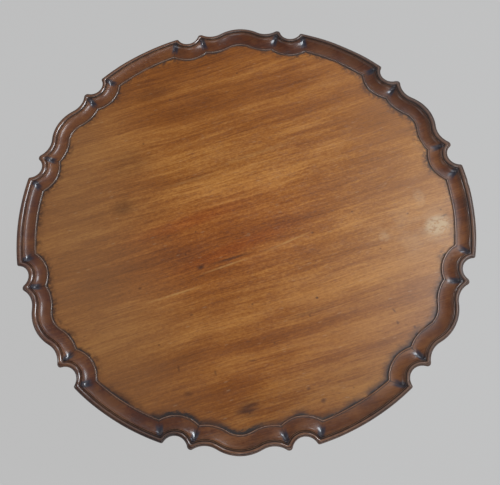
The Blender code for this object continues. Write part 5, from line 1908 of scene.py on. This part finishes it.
@dataclass
class Tripod:
    """Three curved legs with pad feet, dovetailed into the drum, and the iron stay under them."""

    pillar: Pillar
    join_rise: float = 0.046
    root_start: float = 0.01
    knee: Pair = (0.165, 0.08)
    shin_reach: float = 0.196
    foot_reach: float = 0.31
    root_size: Pair = (0.1, 0.046)
    ankle_size: Pair = (0.025, 0.025)
    squareness: float = 0.78
    rings: int = 60
    sides: int = 44
    pad_radius: float = 0.031
    pad_height: float = 0.019
    pad_top: float = 0.017
    shoe_radius: float = 0.023
    shoe_height: float = 0.006
    shoe_edge: float = 0.001
    shoe_overlap: float = 0.003
    skin: float = 0.0016
    smoothing: tuple[float, int] = (0.5, 8)
    drum_top: float = 0.4
    stay_thick: float = 0.0025
    stay_reach: float = 0.092
    stay_tip: float = 0.009
    stay_hub: float = 0.025
    stay_hub_bow: float = 0.0006
    stay_hub_step: float = 0.09
    stay_tip_steps: int = 16
    stay_easing: float = 0.0004
    stay_screws: Pair = (0.057, 0.086)

    def sweep(self) -> Piece:
        """Model the curved part of a leg that points along +X."""
        root = self.pillar.bottom + self.join_rise
        foot = self.shoe_height + self.pad_height / 2
        knee_reach, knee_rise = self.knee
        knots = ((self.root_start, root), (knee_reach, self.pillar.bottom + knee_rise),
                 (self.shin_reach, foot), (self.foot_reach, foot))
        spine = interpolate_bezier(*[Vector((x, 0, z)) for x, z in knots], self.rings)
        rings = []
        for i, middle in enumerate(spine):
            ahead = spine[min(i + 1, self.rings - 1)] - spine[max(i - 1, 0)]
            upward = Vector((-ahead.z, 0, ahead.x)).normalized()
            share = i / (self.rings - 1)
            ease = share * share * (3 - 2 * share)
            depth, width = (a + (b - a) * ease for a, b in zip(self.root_size, self.ankle_size))
            ring = []
            for k in range(self.sides):
                turn = tau * (k + 0.5) / self.sides
                across = abs(cos(turn)) ** self.squareness * (1 if cos(turn) > 0 else -1)
                along = abs(sin(turn)) ** self.squareness * (1 if sin(turn) > 0 else -1)
                ring.append(middle + upward * (along * depth / 2) + Vector((0, across * width / 2, 0)))
            rings.append(ring)
        return loft("leg_pattern", rings)

    def pad(self) -> Piece:
        """Model the pad of a foot."""
        top = self.shoe_height + self.pad_height
        middle = self.shoe_height + self.pad_height / 2
        line = Profile(0.0, top).line(self.pad_top, top)
        line.sweep((self.pad_radius, top), (self.pad_radius, top), (self.pad_radius, middle), 18)
        line.sweep((self.pad_radius, self.shoe_height), (self.pad_radius, self.shoe_height),
                   (self.shoe_radius, self.shoe_height), 18)
        line.line(0.0, self.shoe_height)
        piece = lathe("pad", line, 64)
        piece.data.transform(Matrix.Translation((self.foot_reach, 0, 0)))
        return piece

    def shoe(self) -> Piece:
        """Model the disc under a pad."""
        top = self.shoe_height + self.shoe_overlap
        line = Profile(0.0, top).line(self.shoe_radius, top).line(self.shoe_radius, self.shoe_edge)
        line.line(self.shoe_radius - self.shoe_edge, 0.0).line(0.0, 0.0)
        piece = lathe("shoe", line, 64)
        piece.data.transform(Matrix.Translation((self.foot_reach, 0, 0)))
        return piece

    def screw_row(self) -> list[Matrix]:
        """Where the stay's two screws are in a leg that points along +X."""
        head = self.pillar.bottom - GAP - self.stay_thick
        return [Matrix.Translation((reach, 0, head)) for reach in self.stay_screws]

    def screw_places(self) -> list[Matrix]:
        """Where all the stay's screws are."""
        return [Matrix.Rotation(heading, 4, "Z") @ place for heading in self.pillar.headings()
                for place in self.screw_row()]

    def leg(self) -> Piece:
        """Model a leg that points along +X."""
        piece = combine(self.sweep(), "UNION", self.pad())
        apply(piece, "REMESH", mode="VOXEL", voxel_size=self.skin)
        factor, passes = self.smoothing
        apply(piece, "SMOOTH", factor=factor, iterations=passes)
        combine(piece, "UNION", self.shoe())
        wide = self.root_size[1]
        drum = rod("drum", self.pillar.drum_radius + GAP, (0, 0, 0), (0, 0, self.drum_top), self.pillar.sides)
        seat = block("seat", (-wide, -wide, 0), (self.stay_reach + GAP, wide, self.pillar.bottom))
        combine(piece, "DIFFERENCE", drum, seat)
        combine(piece, "UNION", self.pillar.tongue(0.0))
        return combine(piece, "DIFFERENCE", *STAY_SCREW.holes(self.screw_row()))

    def stay(self) -> Piece:
        """Model the iron with an arm under each leg."""
        plan = []
        for heading in self.pillar.headings():
            for i in range(-2, 3):
                reach = self.stay_hub + self.stay_hub_bow * abs(i)
                plan.append(polar(reach, heading - pi / 3 + self.stay_hub_step * i))
            middle = polar(self.stay_reach - self.stay_tip, heading)
            for i in range(self.stay_tip_steps + 1):
                plan.append(middle + polar(self.stay_tip, heading - pi / 2 + pi * i / self.stay_tip_steps))
        top = self.pillar.bottom - GAP
        piece = loft("stay_iron", [[(p.x, p.y, z) for p in plan] for z in (top - self.stay_thick, top)])
        soften(piece, self.stay_easing)
        return combine(piece, "DIFFERENCE", *STAY_SCREW.holes(self.screw_places()))

    def dress(self) -> None:
        """Build, finish and hang the legs, the stay and its screws."""
        headings = self.pillar.headings()
        places = [Matrix.Rotation(heading, 4, "Z") for heading in headings]
        for number, piece in enumerate(repeat(self.leg(), "curved_leg", places), 1):
            wood = FrameMahogany(f"leg_mahogany_{number}", grain=Grain.OUTWARD, heading=headings[number - 1])
            fit(piece, Carrier.BASE, f"leg_{number}", wood)
        fit(self.stay(), Carrier.BASE, "stay_plate", IRON)
        STAY_SCREW.drive("stay_screw", self.screw_places(), Carrier.BASE)


# Catch


@dataclass
class Catch:
    """The brass catch under the board: plate with two staples, bolt and knob."""

    half: float = 0.021
    front: float = 0.098
    back: float = 0.168
    bottom: float = 0.6863
    thick: float = 0.0024
    corner: float = 0.002
    easing: float = 0.0002
    staple_half: float = 0.01
    staple_length: float = 0.012
    staple_setback: float = 0.004
    staple_wall: float = 0.0026
    staple_round: float = 0.0022
    screw_inset: float = 0.006
    bolt_z: float = 0.6785
    bolt_half: Pair = (0.006, 0.003)
    bolt_nose: float = 0.004
    bolt_tail: float = 0.177
    bolt_easing: float = 0.0004
    knob_y: float = 0.1375
    knob_radius: float = 0.0075
    knob_height: float = 0.012
    knob_collar: float = 0.0048
    knob_neck: float = 0.0032
    knob_drop: float = 0.006
    knob_edge: Pair = (0.0003, 0.0005)
    knob_pull: float = 0.0022
    knob_cove: float = 0.0036
    knob_bead: tuple[float, float, float] = (0.0006, 0.0012, 0.0008)
    knob_steps: int = 24
    stud_radius: float = 0.0018
    stud_length: float = 0.0042

    def screw_places(self) -> list[Matrix]:
        """Where the plate's four screws are."""
        across = self.half - self.screw_inset
        return [Matrix.Translation((x, y, self.bottom)) for x in (-across, across)
                for y in (self.front + self.screw_inset, self.back - self.screw_inset)]

    def plate(self) -> Piece:
        """Model the plate with its staples."""
        piece = block("catch_bed", (-self.half, self.front, self.bottom),
                      (self.half, self.back, self.bottom + self.thick))
        round_edges(piece, self.corner, 4, (-1, 0, 0), (1, 1, 1), along=2)
        low = self.bolt_z - self.bolt_half[1] - GAP - self.staple_wall
        for start in (self.front + self.staple_setback, self.back - self.staple_setback - self.staple_length):
            staple = block("staple", (-self.staple_half, start, low),
                           (self.staple_half, start + self.staple_length, self.bottom + self.thick / 2))
            round_edges(staple, self.staple_round, 5, (-1, 0, 0), (1, 1, low + GAP), along=1)
            combine(piece, "UNION", staple)
        channel = bar("channel", [size + GAP for size in self.bolt_half], self.bolt_z, self.front - OVERRUN,
                      self.back + OVERRUN)
        combine(piece, "DIFFERENCE", channel, *CATCH_SCREW.holes(self.screw_places()))
        soften(piece, self.easing)
        return piece

    def bolt(self) -> Piece:
        """Model the bolt, drawn back."""
        wide, tall = self.bolt_half
        low, high = self.bolt_z - tall, self.bolt_z + tall
        rings = []
        nose = self.front + self.bolt_nose
        for y, top in ((self.front, self.bolt_z), (nose, high), (self.bolt_tail, high)):
            rings.append([(-wide, y, low), (wide, y, low), (wide, y, top), (-wide, y, top)])
        piece = loft("sliding_bolt", rings)
        soften(piece, self.bolt_easing)
        hole = rod("stud_hole", self.stud_radius + GAP, (0, self.knob_y, low - OVERRUN),
                   (0, self.knob_y, low + self.stud_length + GAP), 24)
        return combine(piece, "DIFFERENCE", hole)

    def knob(self) -> Piece:
        """Model the knob under the bolt."""
        seat = self.bolt_z - self.bolt_half[1]
        neck_low = seat - GAP - self.knob_drop
        middle = neck_low - self.knob_height / 2
        line = Profile(0.0, seat + self.stud_length).line(self.stud_radius, seat + self.stud_length)
        inward, down = self.knob_edge
        line.line(self.stud_radius, seat - GAP).line(self.knob_collar - inward, seat - GAP)
        line.line(self.knob_collar, seat - GAP - down)
        line.sweep((self.knob_collar, seat - self.knob_pull), (self.knob_neck, seat - self.knob_pull),
                   (self.knob_neck, seat - self.knob_cove), 8)
        rise, depth, swell = self.knob_bead
        line.line(self.knob_neck, neck_low + rise).bead(depth, swell, 6)
        for i in range(3, self.knob_steps + 1):
            turn = pi / 2 - pi * i / self.knob_steps
            line.line(self.knob_radius * cos(turn), middle + self.knob_height / 2 * sin(turn))
        line.points[-1] = (0.0, middle - self.knob_height / 2)
        piece = lathe("turned_knob", line, 40)
        piece.data.transform(Matrix.Translation((0, self.knob_y, 0)))
        return piece

    def dress(self) -> None:
        """Build, finish and hang the catch."""
        fit(self.plate(), Carrier.TOP, "catch_plate", BRASS)
        fit(self.bolt(), Carrier.BOLT, "catch_bolt", BRASS)
        fit(self.knob(), Carrier.BOLT, "catch_knob", BRASS)
        CATCH_SCREW.drive("catch_screw", self.screw_places(), Carrier.TOP)


# Stage


@dataclass(frozen=True)
class Lamp:
    """A soft panel of light, placed by its direction from the board."""

    name: str
    towards: Place
    distance: float
    size: Pair
    radiance: float
    colour: Colour = (1.0, 1.0, 1.0)

    def build(self, target: Vector) -> None:
        """Hang the panel so that it faces the target."""
        away = Vector(self.towards).normalized()
        light = bpy.data.lights.new(self.name, "AREA")
        light.shape = "ELLIPSE"
        light.size, light.size_y = self.size
        area = pi / 4 * self.size[0] * self.size[1]
        light.energy = self.radiance * pi * area
        light.color = self.colour
        panel = bpy.data.objects.new(self.name, light)
        panel.location = target + away * self.distance
        panel.rotation_euler = away.to_track_quat("Z", "Y").to_euler()
        bpy.context.scene.collection.objects.link(panel)


@dataclass
class Stage:
    """Floor, soft studio light and the camera of the photograph."""

    floor_size: float = 40.0
    floor_grey: float = 0.548
    floor_share: float = 0.88
    target: Place = (0.0, 0.0, 0.7)
    camera_place: Place = (-0.06521, -0.3754, 1.61053)
    camera_right: Place = (0.95542, -0.28363, -0.082)
    camera_down: Place = (-0.2946, -0.89623, -0.3317)
    camera_ahead: Place = (0.02062, 0.34107, -0.9398)
    lens: float = 42.02
    sensor: float = 36.0
    far: float = 100.0
    shift: Pair = (0.0572, 0.0152)
    sky: tuple[tuple[float, Colour], ...] = (
        (0.0, (0.5, 0.5, 0.5)), (0.3, (0.42, 0.42, 0.42)), (0.6, (0.2, 0.2, 0.2)),
        (1.0, (0.1, 0.1, 0.1)))
    lamps: tuple[Lamp, ...] = (
        Lamp("window", (0.64, -0.06, 0.77), 2.2, (1.5, 0.85), 11.0, (0.86, 0.93, 1.0)),
        Lamp("far_window", (0.6, 0.62, 0.5), 2.4, (0.8, 0.5), 6.0, (0.86, 0.93, 1.0)),
        Lamp("window_glow", (0.6, -0.16, 0.79), 2.4, (1.3, 1.5), 0.8, (0.95, 0.98, 1.0)),
        Lamp("near_fill", (-0.1, -0.72, 0.68), 2.4, (1.7, 1.1), 2.3),
        Lamp("left_fill", (-0.95, 0.05, 0.3), 2.4, (1.2, 0.7), 2.2))

    def floor(self) -> None:
        """Lay the floor."""
        deselect()
        bpy.ops.mesh.primitive_plane_add(size=self.floor_size, location=(0, 0, 0))
        ground = named("studio_floor")
        material = bpy.data.materials.new("pale_floor")
        material.use_nodes = True
        sheet = NodeSheet(material.node_tree)
        grey = (self.floor_grey,) * 3
        lit = sheet.add("BsdfDiffuse", {}, {"Color": grey})
        even = sheet.add("Emission", {}, {"Color": grey, "Strength": 1.0})
        rays = sheet.add("LightPath", output="Is Camera Ray")
        outputs = rays.socket.node.outputs
        seen = rays + Wire(sheet, outputs["Is Glossy Ray"]) + Wire(sheet, outputs["Is Transmission Ray"])
        share = sheet.ease(seen, 0.0, 1.0, 0.0, self.floor_share)
        mixed = sheet.add("MixShader", {}, {0: share, 1: lit, 2: even})
        sheet.add("OutputMaterial", {}, {"Surface": mixed})
        ground.data.materials.append(material)

    def surroundings(self) -> None:
        """Set the plain surroundings, dim overhead."""
        world = bpy.data.worlds.new("studio")
        world.use_nodes = True
        sheet = NodeSheet(world.node_tree)
        upward = sheet.parts(sheet.add("TexCoord", output="Generated"))[2]
        colour = sheet.ramp(upward, self.sky)
        light = sheet.add("Background", {}, {"Color": colour, "Strength": 1.0})
        sheet.add("OutputWorld", {}, {"Surface": light})
        bpy.context.scene.world = world

    def camera(self) -> None:
        """Set the camera as the photograph's stood."""
        data = bpy.data.cameras.new("photo_camera")
        data.sensor_width = self.sensor
        data.lens = self.lens
        data.shift_x, data.shift_y = self.shift
        data.clip_end = self.far
        camera = bpy.data.objects.new("photo_camera", data)
        turn = Matrix((self.camera_right, -Vector(self.camera_down), -Vector(self.camera_ahead))).transposed()
        camera.matrix_world = Matrix.Translation(self.camera_place) @ turn.to_4x4()
        bpy.context.scene.collection.objects.link(camera)
        bpy.context.scene.camera = camera

    def dress(self) -> None:
        """Set the whole stage."""
        self.camera()
        self.floor()
        self.surroundings()
        for lamp in self.lamps:
            lamp.build(Vector(self.target))
        bpy.context.scene.view_settings.view_transform = "Standard"


def main() -> None:
    """Set the stage and build every sub-assembly in order."""
    logging.basicConfig(level=logging.INFO, format="%(name)s: %(message)s")
    Stage().dress()
    pillar = Pillar()
    for assembly in (TableTop(), Birdcage(), pillar, Tripod(pillar), Catch()):
        log.info("building %s", type(assembly).__name__)
        assembly.dress()


if __name__ == "__main__":
    main()
